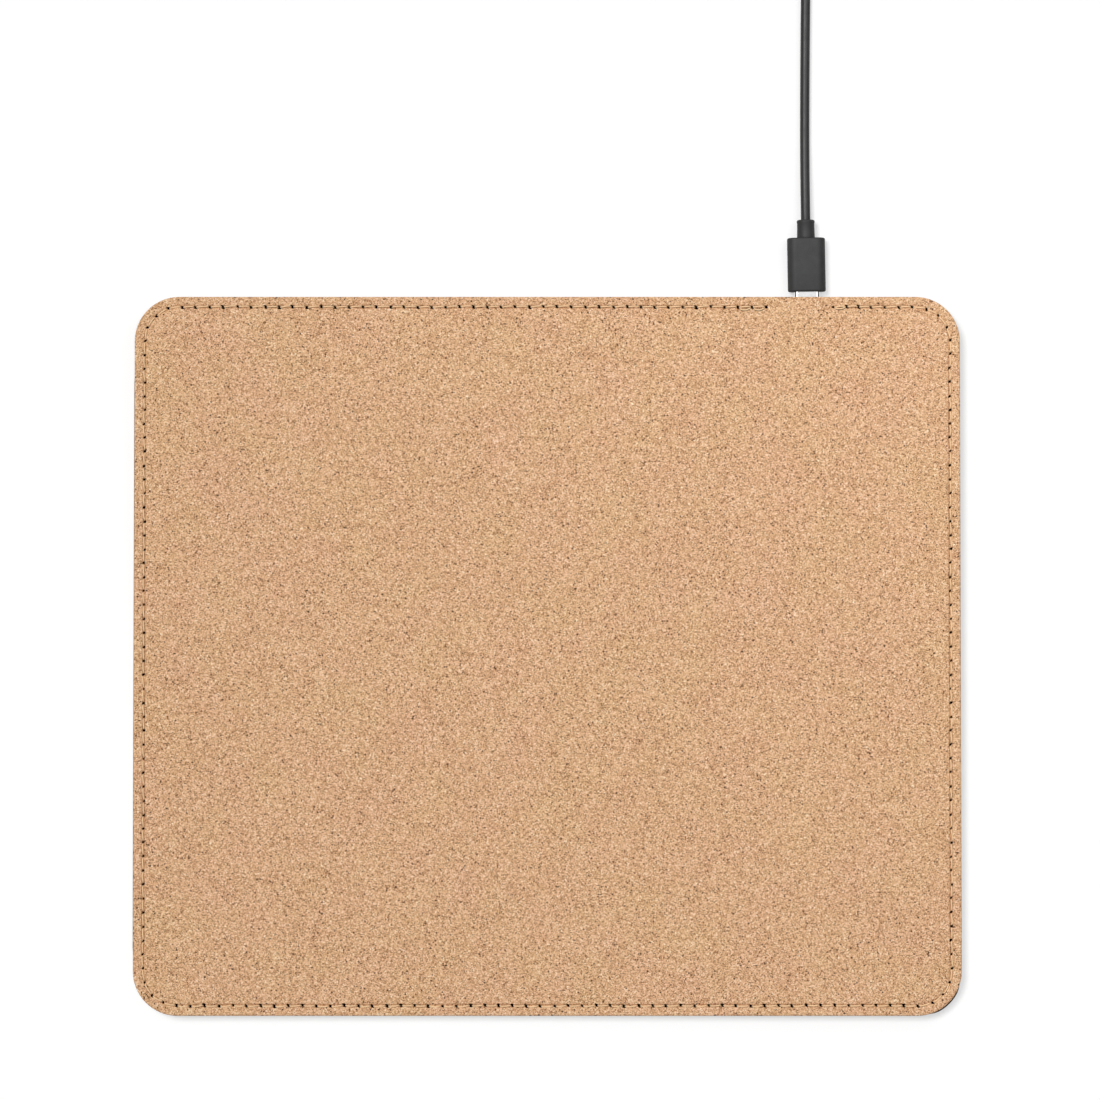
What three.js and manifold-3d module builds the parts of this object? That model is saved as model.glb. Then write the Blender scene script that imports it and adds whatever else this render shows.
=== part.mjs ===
import * as THREE from 'three';
import { mergeVertices } from 'three/addons/utils/BufferGeometryUtils.js';
import Module from 'manifold-3d';

// A cork mouse pad with a wireless charger inside and its plug-in lead.
// Lengths are millimetres. X runs along the long side, Y towards the lead, Z up.
// The origin is the middle of the pad's underside.

// Pad: four sheets, from the desk up
const padLength = 260;
const padWidth = 226;
const cornerRadius = 14;
const baseThickness = 0.8;
const coreThickness = 4.1;
const backingThickness = 0.3;
const corkThickness = 0.8;
const corkRimRounding = 0.4;
const baseRimRounding = 0.25;

// Seam: one needle thread on top and one bobbin thread below, open at the port
const seamInset = 3;
const stitchPitch = 4.35;
const threadThickness = 0.36;
const threadClearance = 0.02;
const seamGrooveWidth = 1.1;
const needleGrooveDepth = 0.56;
const bobbinGrooveDepth = 0.56;
const seamEndLeftOfPort = 12.6;
const seamEndRightOfPort = 8.6;

// Charger module: a tray and lid in a window of the core, with a nose at the rear edge
const portFromSide = 48;
const moduleRecess = 0.3;
const moduleCornerRadius = 3;
const noseWidth = 15;
const noseLength = 7.7;
const moduleWall = 0.8;
const trayFloor = 0.35;
const lidThickness = 0.35;
const windowClearance = 0.3;
const postDiameter = 3;
const postInset = 2.4;

// Charging coil on its ferrite plate and foam pad
const coilInnerDiameter = 20.5;
const coilTurns = 9.5;
const wireDiameter = 1;
const wirePitch = 1.45;
const wireLift = 0.05;
const ferriteMargin = 1;
const ferriteSideClearance = 1.2;
const ferriteFrontClearance = 0.7;
const ferriteToBoard = 7.9;
const ferriteCorner = 2;
const ferriteThickness = 0.8;
const foamInset = 1;
const leadDrop = 1.5;
const leadDropLength = 11;
const leadRiseLength = 6;
const leadOnBoard = 2.1;
const leadSlotMargin = 0.4;
const leadSlotInward = 2.6;

// Circuit board and what stands on it
const boardThickness = 0.8;
const boardDepth = 20;
const boardClearance = 0.3;
const boardChamfer = 1.6;
const chipSize = 6;
const chipHeight = 0.9;
const bridgeSize = 4;
const bridgeHeight = 0.8;
const inductorSize = 5;
const inductorHeight = 1.1;
const capacitorLength = 3.2;
const capacitorWidth = 1.6;
const capacitorHeight = 1.1;
const capacitorPitch = 2.6;
const resistorLength = 3.2;
const resistorWidth = 1.6;
const resistorHeight = 0.55;
const boardMargin = 4;

// Socket in the module's nose
const socketWidth = 8.94;
const socketHeight = 3.26;
const socketWall = 0.3;
const socketFloorWall = 0.35;
const socketLength = 7.35;
const socketNotchClearance = 0.13;
const earWidth = 1.45;
const earLength = 3;
const earThickness = 0.25;
const earSink = 0.32;
const tongueWidth = 6.65;
const tongueThickness = 0.7;
const tongueRecess = 1.6;
const wingLength = 1.25;
const wingClearance = 0.03;
const contactWidth = 0.5;
const contactThickness = 0.06;
const contactPitch = 1.75;
const contactSetback = 0.4;
const contactRise = 0.3;
const contactTail = 0.8;

// Plug on the pad's end of the lead
const plugGap = 2.1;
const plugTipLength = 7.8;
const plugTipWidth = 8.25;
const plugTipHeight = 2.4;
const plugTipWall = 0.3;
const plugInsertClearance = 0.02;
const plugSlotWidth = 6.95;
const plugSlotHeight = 0.96;
const plugSlotDepth = 5;
const plugBodyWidth = 12;
const plugBodyHeight = 5.5;
const plugBodyLength = 17;
const plugBodyRounding = 0.5;
const plugNeckDiameter = 5.5;
const plugNeckRootDiameter = 5.6;
const plugNeckLength = 5.4;
const plugNeckRounding = 0.4;

// Lead: free run, storage coil, tail and tie
const cordDiameter = 3;
const cordGap = 0.3;
const windingTurns = 7.25;
const windingMeanDiameter = 36;
const windingPitch = 3.45;
const windingLift = 0.75;
const windingCentreY = 238;
const tieWidth = 6;
const tieThickness = 0.4;
const tieClearance = 0.33;
const tieCornerRadius = 1.6;

// Plug on the lead's far end
const farTipLength = 12;
const farTipWidth = 12;
const farTipHeight = 4.5;
const farTipWall = 0.3;
const farTipCorner = 0.4;
const farInsertHeight = 1.9;
const farInsertClearance = 0.02;
const farInsertSetback = 0.3;
const farContactWidth = 1;
const farContactLength = 8;
const farContactThickness = 0.15;
const farContactPitch = 2.3;
const farContactSetback = 1.2;
const farBodyWidth = 15.8;
const farBodyHeight = 7.8;
const farBodyLength = 24;
const farBodyCorner = 2;
const farBodyRounding = 0.6;
const farBodyLift = 0.1;
const farNeckLength = 9;
const farNeckDiameter = 5;
const farNeckRootDiameter = 6.4;
const farNeckRounding = 0.4;

// Facets, and the reach of a cutter past the face that it opens
const cutterOverrun = 1;
const weldDistance = 0.0001;
const padCornerSteps = 12;
const cornerSteps = 6;
const smallCornerSteps = 2;
const roundSides = 16;
const cordSides = 8;
const cordStep = 7;
const windingSides = 6;
const wireSides = 4;
const threadSides = 3;
const loopSteps = 24;

// Heights of the stack
const baseTop = baseThickness;
const coreTop = baseTop + coreThickness;
const backingTop = coreTop + backingThickness;
const padTop = backingTop + corkThickness;
const portHeight = baseTop + coreThickness / 2;
const trayFloorTop = baseTop + trayFloor;
const lidUnderside = coreTop - lidThickness;
const boardUnderside = portHeight - boardThickness / 2;
const boardTop = portHeight + boardThickness / 2;

// Sizes of the module, worked out from what lies in it
const portOffset = padLength / 2 - portFromSide;
const coilInnerRadius = (coilInnerDiameter + wireDiameter) / 2;
const coilOuterRadius = coilInnerRadius + wirePitch * coilTurns;
const ferriteSize = 2 * coilOuterRadius + wireDiameter + 2 * ferriteMargin;
const moduleWidth = ferriteSize + 2 * (ferriteSideClearance + moduleWall);
const boardRoom = boardDepth + boardClearance + moduleWall;
const moduleLength = moduleWall + ferriteFrontClearance + ferriteSize + ferriteToBoard + boardRoom;

// Places along the module, measured from the pad's rear edge
const noseFace = -moduleRecess;
const shoulder = noseFace - noseLength;
const moduleFront = shoulder - moduleLength;
const boardRear = shoulder - moduleWall - boardClearance;
const boardFront = boardRear - boardDepth;
const coilBehindEdge = ferriteToBoard + ferriteSize / 2 - boardFront;
const socketRear = noseFace - socketLength;

const finishes = {
  cork: { color: 0xd2a984, roughness: 0.9, metalness: 0 },
  backingCloth: { color: 0xcbb79c, roughness: 1, metalness: 0 },
  fibreBoard: { color: 0xb79f7c, roughness: 0.95, metalness: 0 },
  baseSheet: { color: 0x2c2c2e, roughness: 0.85, metalness: 0 },
  thread: { color: 0xdcc09a, roughness: 0.8, metalness: 0 },
  modulePlastic: { color: 0xe6e6e2, roughness: 0.5, metalness: 0 },
  foam: { color: 0x4a4a4c, roughness: 1, metalness: 0 },
  ferrite: { color: 0x3a3733, roughness: 0.6, metalness: 0.1 },
  copperWire: { color: 0xb4693a, roughness: 0.4, metalness: 0.9 },
  circuitBoard: { color: 0x1f6b3d, roughness: 0.5, metalness: 0 },
  chipBody: { color: 0x1b1b1d, roughness: 0.6, metalness: 0 },
  capacitorBody: { color: 0xa98862, roughness: 0.5, metalness: 0 },
  resistorBody: { color: 0x222226, roughness: 0.5, metalness: 0 },
  socketSteel: { color: 0xc8cacd, roughness: 0.3, metalness: 1 },
  blackPlastic: { color: 0x2b2b2d, roughness: 0.6, metalness: 0 },
  gildedContact: { color: 0xd9b560, roughness: 0.3, metalness: 1 },
  cordJacket: { color: 0x38383a, roughness: 0.55, metalness: 0 },
  tieStrap: { color: 0x1d1d1f, roughness: 0.9, metalness: 0 },
};

const wasm = await Module();
wasm.setup();

function piece(name, geometry, finish) {
  const mesh = new THREE.Mesh(geometry, new THREE.MeshStandardMaterial(finish));
  mesh.name = name;
  return mesh;
}

// Booleans on closed meshes

function toSolid(geometry) {
  const bare = geometry.clone();
  bare.deleteAttribute('normal');
  bare.deleteAttribute('uv');
  const welded = mergeVertices(bare, weldDistance);
  const vertProperties = new Float32Array(welded.attributes.position.array);
  const triVerts = new Uint32Array(welded.index.array);
  return new wasm.Manifold(new wasm.Mesh({ numProp: 3, vertProperties, triVerts }));
}

function toGeometry(solid) {
  const mesh = solid.getMesh();
  const geometry = new THREE.BufferGeometry();
  geometry.setAttribute('position', new THREE.BufferAttribute(new Float32Array(mesh.vertProperties), 3));
  geometry.setIndex(new THREE.BufferAttribute(new Uint32Array(mesh.triVerts), 1));
  return geometry;
}

function cut(geometry, ...cutters) {
  let solid = toSolid(geometry);
  for (const cutter of cutters) {
    solid = solid.subtract(toSolid(cutter));
  }
  return toGeometry(solid);
}

function join(geometry, ...additions) {
  let solid = toSolid(geometry);
  for (const addition of additions) {
    solid = solid.add(toSolid(addition));
  }
  return toGeometry(solid);
}

// Outlines, counterclockwise

function roundedOutline(width, height, radius, steps) {
  const points = [];
  [[1, 1], [-1, 1], [-1, -1], [1, -1]].forEach(([sideX, sideY], quarter) => {
    for (let step = 0; step <= steps; step += 1) {
      const angle = (quarter + step / steps) * Math.PI / 2;
      points.push(new THREE.Vector2(
        sideX * (width / 2 - radius) + radius * Math.cos(angle),
        sideY * (height / 2 - radius) + radius * Math.sin(angle),
      ));
    }
  });
  return points.filter((point, index) => {
    const next = points[(index + 1) % points.length];
    return point.distanceTo(next) > weldDistance;
  });
}

function stadium(width, height) {
  return roundedOutline(width, height, height / 2, cornerSteps);
}

function padOutline(inset) {
  return roundedOutline(padLength - 2 * inset, padWidth - 2 * inset, cornerRadius - inset, padCornerSteps);
}

function moduleOutline(grow, noseReach) {
  const half = moduleWidth / 2 + grow;
  const nose = noseWidth / 2 + grow;
  const corner = moduleCornerRadius + grow;
  const front = moduleFront - grow;
  const rear = shoulder + grow;
  const shape = new THREE.Shape();
  shape.moveTo(-half + corner, front);
  shape.lineTo(half - corner, front);
  shape.quadraticCurveTo(half, front, half, front + corner);
  shape.lineTo(half, rear - corner);
  shape.quadraticCurveTo(half, rear, half - corner, rear);
  shape.lineTo(nose, rear);
  shape.lineTo(nose, noseReach);
  shape.lineTo(-nose, noseReach);
  shape.lineTo(-nose, rear);
  shape.lineTo(-half + corner, rear);
  shape.quadraticCurveTo(-half, rear, -half, rear - corner);
  shape.lineTo(-half, front + corner);
  shape.quadraticCurveTo(-half, front, -half + corner, front);
  return shape;
}

// Solids

function prism(outline, height) {
  const shape = outline instanceof THREE.Shape ? outline : new THREE.Shape(outline);
  const options = { depth: height, bevelEnabled: false, curveSegments: cornerSteps };
  return new THREE.ExtrudeGeometry(shape, options);
}

function sleeve(outer, inner, length) {
  const shape = new THREE.Shape(outer);
  shape.holes.push(new THREE.Path(inner.slice().reverse()));
  const geometry = new THREE.ExtrudeGeometry(shape, { depth: length, bevelEnabled: false });
  return geometry.rotateX(-Math.PI / 2);
}

function block(width, depth, height) {
  return new THREE.BoxGeometry(width, depth, height).translate(0, 0, height / 2);
}

function loft(rings) {
  const count = rings[0].length;
  const index = [];
  for (let level = 0; level < rings.length - 1; level += 1) {
    for (let corner = 0; corner < count; corner += 1) {
      const here = level * count + corner;
      const beside = level * count + (corner + 1) % count;
      index.push(here, beside, here + count);
      index.push(beside, beside + count, here + count);
    }
  }
  const last = (rings.length - 1) * count;
  for (let corner = 1; corner < count - 1; corner += 1) {
    index.push(0, corner + 1, corner);
    index.push(last, last + corner, last + corner + 1);
  }
  const geometry = new THREE.BufferGeometry().setFromPoints(rings.flat());
  geometry.setIndex(index);
  return geometry;
}

function levelRing(outline, height) {
  return outline.map((point) => new THREE.Vector3(point.x, point.y, height));
}

function uprightRing(outline, along) {
  return outline.map((point) => new THREE.Vector3(-point.x, along, point.y));
}

function sweep(points, section) {
  const up = new THREE.Vector3(0, 0, 1);
  return loft(points.map((point, index) => {
    const before = points[Math.max(index - 1, 0)];
    const after = points[Math.min(index + 1, points.length - 1)];
    const along = after.clone().sub(before).normalize();
    const left = new THREE.Vector3().crossVectors(up, along).normalize();
    const top = new THREE.Vector3().crossVectors(along, left);
    return section.map((corner) => point.clone()
      .addScaledVector(left, -corner.x)
      .addScaledVector(top, corner.y)).reverse();
  }));
}

function roundSection(diameter, sides) {
  return Array.from({ length: sides }, (unused, corner) => {
    const angle = (corner + 0.5) / sides * 2 * Math.PI;
    return new THREE.Vector2(Math.cos(angle), Math.sin(angle)).multiplyScalar(diameter / 2);
  });
}

// A round piece turned on its own Y axis, with a rounded outer end
function neck(rootDiameter, endDiameter, length, rounding) {
  const bevelled = endDiameter / 2 - rounding;
  const profile = [
    new THREE.Vector2(0, 0),
    new THREE.Vector2(rootDiameter / 2, 0),
    new THREE.Vector2(endDiameter / 2, length - rounding),
    new THREE.Vector2(bevelled + rounding * Math.SQRT1_2, length - rounding * (1 - Math.SQRT1_2)),
    new THREE.Vector2(bevelled, length),
    new THREE.Vector2(0, length),
  ];
  return new THREE.LatheGeometry(profile, roundSides);
}

// A moulded body lying along Y, with its end edges rounded
function mouldedBody(width, height, corner, length, rounding) {
  const ring = (inset, along) => uprightRing(
    roundedOutline(width - 2 * inset, height - 2 * inset, corner - inset, cornerSteps),
    along,
  );
  const half = rounding * (1 - Math.SQRT1_2);
  return loft([
    ring(rounding, 0),
    ring(half, half),
    ring(0, rounding),
    ring(0, length - rounding),
    ring(half, length - half),
    ring(rounding, length),
  ]);
}

// Smallest clear distance between a round wire's turns, measured on its points
function leastGap(points, diameter) {
  let least = Infinity;
  let travelled = 0;
  const reach = [0];
  for (let index = 1; index < points.length; index += 1) {
    travelled += points[index].distanceTo(points[index - 1]);
    reach.push(travelled);
  }
  for (let near = 0; near < points.length; near += 1) {
    for (let far = near + 1; far < points.length; far += 1) {
      const apart = points[near].distanceTo(points[far]);
      if (reach[far] - reach[near] > Math.PI * diameter && apart - diameter < least) {
        least = apart - diameter;
      }
    }
  }
  return least;
}

function travel(points) {
  return points.slice(1).reduce((sum, point, index) => sum + point.distanceTo(points[index]), 0);
}

function easeStep(share) {
  return THREE.MathUtils.smoothstep(share, 0, 1);
}

// Pad sheets and seam

function seamPath() {
  const right = padLength / 2 - cornerRadius;
  const rear = padWidth / 2 - cornerRadius;
  const radius = cornerRadius - seamInset;
  const turn = Math.PI / 2;
  const path = new THREE.Path();
  path.moveTo(portOffset + seamEndRightOfPort, rear + radius);
  path.absarc(right, rear, radius, turn, 0, true);
  path.absarc(right, -rear, radius, 0, -turn, true);
  path.absarc(-right, -rear, radius, -turn, -2 * turn, true);
  path.absarc(-right, rear, radius, 2 * turn, turn, true);
  path.lineTo(portOffset - seamEndLeftOfPort, rear + radius);
  return path;
}

function seamGroove(depth, surface, facing) {
  const corners = seamPath().getPoints(smallCornerSteps);
  const distinct = corners.filter((point, index) => {
    return index === 0 || point.distanceTo(corners[index - 1]) > weldDistance;
  });
  const first = distinct[0].clone();
  const last = distinct[distinct.length - 1].clone();
  first.x -= seamGrooveWidth / 2;
  last.x += seamGrooveWidth / 2;
  const points = [first, ...distinct.slice(1, -1), last];
  const rectangle = [
    new THREE.Vector2(seamGrooveWidth / 2, -depth * facing),
    new THREE.Vector2(seamGrooveWidth / 2, cutterOverrun * facing),
    new THREE.Vector2(-seamGrooveWidth / 2, cutterOverrun * facing),
    new THREE.Vector2(-seamGrooveWidth / 2, -depth * facing),
  ];
  const wound = facing > 0 ? rectangle : rectangle.reverse();
  return sweep(points.map((point) => new THREE.Vector3(point.x, point.y, surface)), wound);
}

function seamThread(holeHeight, crownHeight) {
  const path = seamPath();
  const stitches = Math.round(path.getLength() / stitchPitch);
  const points = [];
  for (let half = 0; half <= 2 * stitches; half += 1) {
    const place = path.getPoint(half / (2 * stitches));
    points.push(new THREE.Vector3(place.x, place.y, half % 2 === 0 ? holeHeight : crownHeight));
  }
  return sweep(points, roundSection(threadThickness, threadSides));
}

function makePad() {
  const pad = new THREE.Group();

  const rimMiddle = corkRimRounding * (1 - Math.SQRT1_2);
  const cork = loft([
    levelRing(padOutline(0), backingTop),
    levelRing(padOutline(0), padTop - corkRimRounding),
    levelRing(padOutline(rimMiddle), padTop - rimMiddle),
    levelRing(padOutline(corkRimRounding), padTop),
  ]);
  pad.add(piece('cork_cover', cut(cork, seamGroove(needleGrooveDepth, padTop, 1)), finishes.cork));

  const backing = piece('cover_backing', prism(padOutline(0), backingThickness), finishes.backingCloth);
  backing.position.z = coreTop;
  pad.add(backing);

  const window = prism(moduleOutline(windowClearance, cutterOverrun), coreThickness + 2 * cutterOverrun)
    .translate(portOffset, padWidth / 2, -cutterOverrun);
  const core = piece('core_board', cut(prism(padOutline(0), coreThickness), window), finishes.fibreBoard);
  core.position.z = baseTop;
  pad.add(core);

  const base = loft([
    levelRing(padOutline(baseRimRounding), 0),
    levelRing(padOutline(0), baseRimRounding),
    levelRing(padOutline(0), baseTop),
  ]);
  pad.add(piece('base_cover', cut(base, seamGroove(bobbinGrooveDepth, 0, -1)), finishes.baseSheet));

  const needleHole = padTop - needleGrooveDepth + threadClearance + threadThickness / 2;
  const needleCrown = padTop - threadThickness / 2;
  pad.add(piece('needle_thread', seamThread(needleHole, needleCrown), finishes.thread));
  const bobbinHole = bobbinGrooveDepth - threadClearance - threadThickness / 2;
  const bobbinCrown = threadThickness / 2;
  pad.add(piece('bobbin_thread', seamThread(bobbinHole, bobbinCrown), finishes.thread));
  return pad;
}

// Charger module, in a frame whose origin is on the pad's rear edge over the port

function makeHousing() {
  const housing = new THREE.Group();
  const outer = prism(moduleOutline(0, noseFace), lidUnderside - baseTop).translate(0, 0, baseTop);
  const hollow = prism(moduleOutline(-moduleWall, noseFace - moduleWall), lidUnderside)
    .translate(0, 0, trayFloorTop);
  const mouth = block(socketWidth + 2 * socketNotchClearance, 2 * moduleWall + cutterOverrun, lidUnderside)
    .translate(0, noseFace, trayFloorTop);
  const postX = moduleWidth / 2 - moduleWall - boardClearance - postInset;
  const postHeight = boardUnderside - trayFloorTop + trayFloor / 2;
  const posts = [];
  for (const side of [-1, 1]) {
    for (const place of [boardFront + postInset, boardRear - postInset]) {
      const post = new THREE.CylinderGeometry(postDiameter / 2, postDiameter / 2, postHeight, cordSides);
      posts.push(post.rotateX(Math.PI / 2).translate(side * postX, place, boardUnderside - postHeight / 2));
    }
  }
  housing.add(piece('module_tray', join(cut(outer, hollow, mouth), ...posts), finishes.modulePlastic));

  const lid = piece('module_lid', prism(moduleOutline(0, noseFace), lidThickness), finishes.modulePlastic);
  lid.position.z = lidUnderside;
  housing.add(lid);
  return housing;
}

// The wire comes off the board, winds inwards and returns below its own turns
function chargingWirePoints() {
  const height = boardTop + wireLift + wireDiameter / 2;
  const leadEnd = boardFront + leadOnBoard + coilBehindEdge;
  const points = [
    new THREE.Vector3(coilOuterRadius, leadEnd, height),
    new THREE.Vector3(coilOuterRadius, wireDiameter, height),
  ];
  const steps = loopSteps * coilTurns;
  for (let step = 0; step <= steps; step += 1) {
    const angle = -2 * Math.PI * step / loopSteps;
    const radius = coilOuterRadius - wirePitch * step / loopSteps;
    const toGo = (steps - step) / loopSteps * 2 * Math.PI * coilInnerRadius;
    const dropped = leadDrop * easeStep((leadDropLength / 2 - toGo) / leadDropLength);
    points.push(new THREE.Vector3(radius * Math.cos(angle), radius * Math.sin(angle), height - dropped));
  }
  const stride = leadDropLength / 8;
  for (let gone = stride; gone < leadDropLength / 2 + stride; gone += stride) {
    const dropped = leadDrop * easeStep((leadDropLength / 2 + gone) / leadDropLength);
    points.push(new THREE.Vector3(-coilInnerRadius, gone, height - dropped));
  }
  const riseEnd = boardFront + coilBehindEdge - wireDiameter;
  for (let step = 0; step <= cordSides; step += 1) {
    const share = step / cordSides;
    const along = riseEnd - leadRiseLength * (1 - share);
    points.push(new THREE.Vector3(-coilInnerRadius, along, height - leadDrop * (1 - easeStep(share))));
  }
  points.push(new THREE.Vector3(-coilInnerRadius, leadEnd, height));
  return points;
}

function makeCoilStack() {
  const stack = new THREE.Group();
  stack.position.y = -coilBehindEdge;
  const slotOuter = coilInnerRadius + wireDiameter / 2 + leadSlotMargin;
  const slotWidth = slotOuter - coilInnerRadius + leadSlotInward;
  const slotFront = -leadDropLength / 2 - leadSlotMargin - wireDiameter;
  const slotLength = ferriteSize / 2 + cutterOverrun - slotFront;
  const leadSlot = (height) => block(slotWidth, slotLength, height + 2 * cutterOverrun)
    .translate(slotWidth / 2 - slotOuter, slotFront + slotLength / 2, -cutterOverrun);

  const ferriteOutline = roundedOutline(ferriteSize, ferriteSize, ferriteCorner, smallCornerSteps);
  const ferrite = cut(prism(ferriteOutline, ferriteThickness), leadSlot(ferriteThickness));
  const plate = piece('ferrite_shield', ferrite, finishes.ferrite);
  plate.position.z = boardTop - ferriteThickness;
  stack.add(plate);

  const foamSize = ferriteSize - 2 * foamInset;
  const foamThickness = boardTop - ferriteThickness - trayFloorTop;
  const foamOutline = roundedOutline(foamSize, foamSize, ferriteCorner, smallCornerSteps);
  const foam = cut(prism(foamOutline, foamThickness), leadSlot(foamThickness));
  const pad = piece('coil_foam_pad', foam, finishes.foam);
  pad.position.z = trayFloorTop;
  stack.add(pad);

  const wire = chargingWirePoints();
  console.log('charging coil least gap', leastGap(wire, wireDiameter).toFixed(3));
  const winding = sweep(wire, roundSection(wireDiameter, wireSides));
  stack.add(piece('charging_coil', winding, finishes.copperWire));
  return stack;
}

function makeBoard() {
  const electronics = new THREE.Group();
  const half = moduleWidth / 2 - moduleWall - boardClearance;
  const tab = noseWidth / 2 - moduleWall - boardClearance;
  const tabEnd = noseFace - moduleWall - boardClearance;
  const notch = socketWidth / 2 + socketNotchClearance;
  const notchEnd = socketRear - socketNotchClearance;
  const shape = new THREE.Shape([
    new THREE.Vector2(-half, boardFront),
    new THREE.Vector2(half, boardFront),
    new THREE.Vector2(half, boardRear - boardChamfer),
    new THREE.Vector2(half - boardChamfer, boardRear),
    new THREE.Vector2(tab, boardRear),
    new THREE.Vector2(tab, tabEnd),
    new THREE.Vector2(notch, tabEnd),
    new THREE.Vector2(notch, notchEnd),
    new THREE.Vector2(-notch, notchEnd),
    new THREE.Vector2(-notch, tabEnd),
    new THREE.Vector2(-tab, tabEnd),
    new THREE.Vector2(-tab, boardRear),
    new THREE.Vector2(boardChamfer - half, boardRear),
    new THREE.Vector2(-half, boardRear - boardChamfer),
  ]);
  const board = piece('circuit_board', prism(shape, boardThickness), finishes.circuitBoard);
  board.position.z = boardUnderside;
  electronics.add(board);

  const middle = (boardFront + boardRear) / 2;
  const seat = (name, geometry, finish, x, y) => {
    const mesh = piece(name, geometry, finish);
    mesh.position.set(x, y, boardTop);
    electronics.add(mesh);
  };
  seat('controller_chip', block(chipSize, chipSize, chipHeight), finishes.chipBody, 0, middle);
  const bridgeX = chipSize / 2 + boardMargin + bridgeSize / 2;
  seat('coil_driver_chip', block(bridgeSize, bridgeSize, bridgeHeight), finishes.chipBody, bridgeX, middle);
  const inductor = prism(roundedOutline(inductorSize, inductorSize, inductorSize / 4, 1), inductorHeight);
  seat('power_inductor', inductor, finishes.ferrite, -bridgeX, middle + postInset);
  for (let place = 0; place < 4; place += 1) {
    const capacitor = block(capacitorLength, capacitorWidth, capacitorHeight);
    const y = middle + (place - 1.5) * capacitorPitch;
    const x = half - boardMargin - postDiameter - capacitorLength / 2;
    seat(`resonant_capacitor_${place + 1}`, capacitor, finishes.capacitorBody, x, y);
  }
  for (let place = 0; place < 2; place += 1) {
    const capacitor = block(capacitorLength, capacitorWidth, capacitorHeight);
    const y = middle + (place - 0.5) * capacitorPitch;
    const x = boardMargin + postDiameter + capacitorLength / 2 - half;
    seat(`input_capacitor_${place + 1}`, capacitor, finishes.capacitorBody, x, y);
  }
  const resistor = block(resistorLength, resistorWidth, resistorHeight);
  const resistorY = middle - bridgeSize / 2 - capacitorPitch;
  seat('sense_resistor', resistor, finishes.resistorBody, bridgeX, resistorY);
  return electronics;
}

// Socket, in a frame whose origin is the middle of its mouth

function makeSocket() {
  const socket = new THREE.Group();
  socket.position.set(0, noseFace, portHeight);
  const outer = stadium(socketWidth, socketHeight);
  const inner = stadium(socketWidth - 2 * socketWall, socketHeight - 2 * socketFloorWall);
  const tube = sleeve(outer, inner, socketLength).translate(0, -socketLength, 0);
  const ears = [-1, 1].map((side) => block(earWidth, earLength, earThickness)
    .translate(side * (socketWidth / 2 - earSink + earWidth / 2), -socketLength / 2, boardThickness / 2));
  socket.add(piece('socket_shell', join(tube, ...ears), finishes.socketSteel));

  const endRadius = socketHeight / 2 - socketFloorWall;
  const endSetback = endRadius - Math.sqrt(endRadius ** 2 - (tongueThickness / 2) ** 2);
  const wing = socketWidth / 2 - socketWall - endSetback - wingClearance;
  const tongue = tongueWidth / 2;
  const plate = new THREE.Shape([
    new THREE.Vector2(-wing, -socketLength),
    new THREE.Vector2(wing, -socketLength),
    new THREE.Vector2(wing, -socketLength + wingLength),
    new THREE.Vector2(tongue, -socketLength + wingLength),
    new THREE.Vector2(tongue, -tongueRecess),
    new THREE.Vector2(-tongue, -tongueRecess),
    new THREE.Vector2(-tongue, -socketLength + wingLength),
    new THREE.Vector2(-wing, -socketLength + wingLength),
  ]);
  const insulator = piece('socket_tongue', prism(plate, tongueThickness), finishes.blackPlastic);
  insulator.position.z = -tongueThickness / 2;
  socket.add(insulator);

  for (const [face, facing] of [['upper', 1], ['lower', -1]]) {
    for (let place = -1; place <= 1; place += 1) {
      const contact = piece(`socket_contact_${face}_${place + 2}`, socketContact(), finishes.gildedContact);
      contact.rotation.y = facing > 0 ? 0 : Math.PI;
      contact.position.x = place * contactPitch;
      socket.add(contact);
    }
  }
  return socket;
}

// A strip along the tongue that steps up and lands on the board
function socketContact() {
  const low = tongueThickness / 2;
  const high = boardThickness / 2;
  const tip = -tongueRecess - contactSetback;
  const step = -socketLength;
  const landing = step - contactRise;
  const tail = landing - contactTail;
  const profile = new THREE.Shape([
    new THREE.Vector2(tip, low),
    new THREE.Vector2(tip, low + contactThickness),
    new THREE.Vector2(step, low + contactThickness),
    new THREE.Vector2(landing, high + contactThickness),
    new THREE.Vector2(tail, high + contactThickness),
    new THREE.Vector2(tail, high),
    new THREE.Vector2(landing, high),
    new THREE.Vector2(step, low),
  ]);
  const strip = new THREE.ExtrudeGeometry(profile, { depth: contactWidth, bevelEnabled: false });
  const toFrame = new THREE.Matrix4().makeBasis(
    new THREE.Vector3(0, 1, 0),
    new THREE.Vector3(0, 0, 1),
    new THREE.Vector3(1, 0, 0),
  );
  return strip.applyMatrix4(toFrame).translate(-contactWidth / 2, 0, 0);
}

// Plug, in a frame whose origin is the middle of its body's front face

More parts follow.
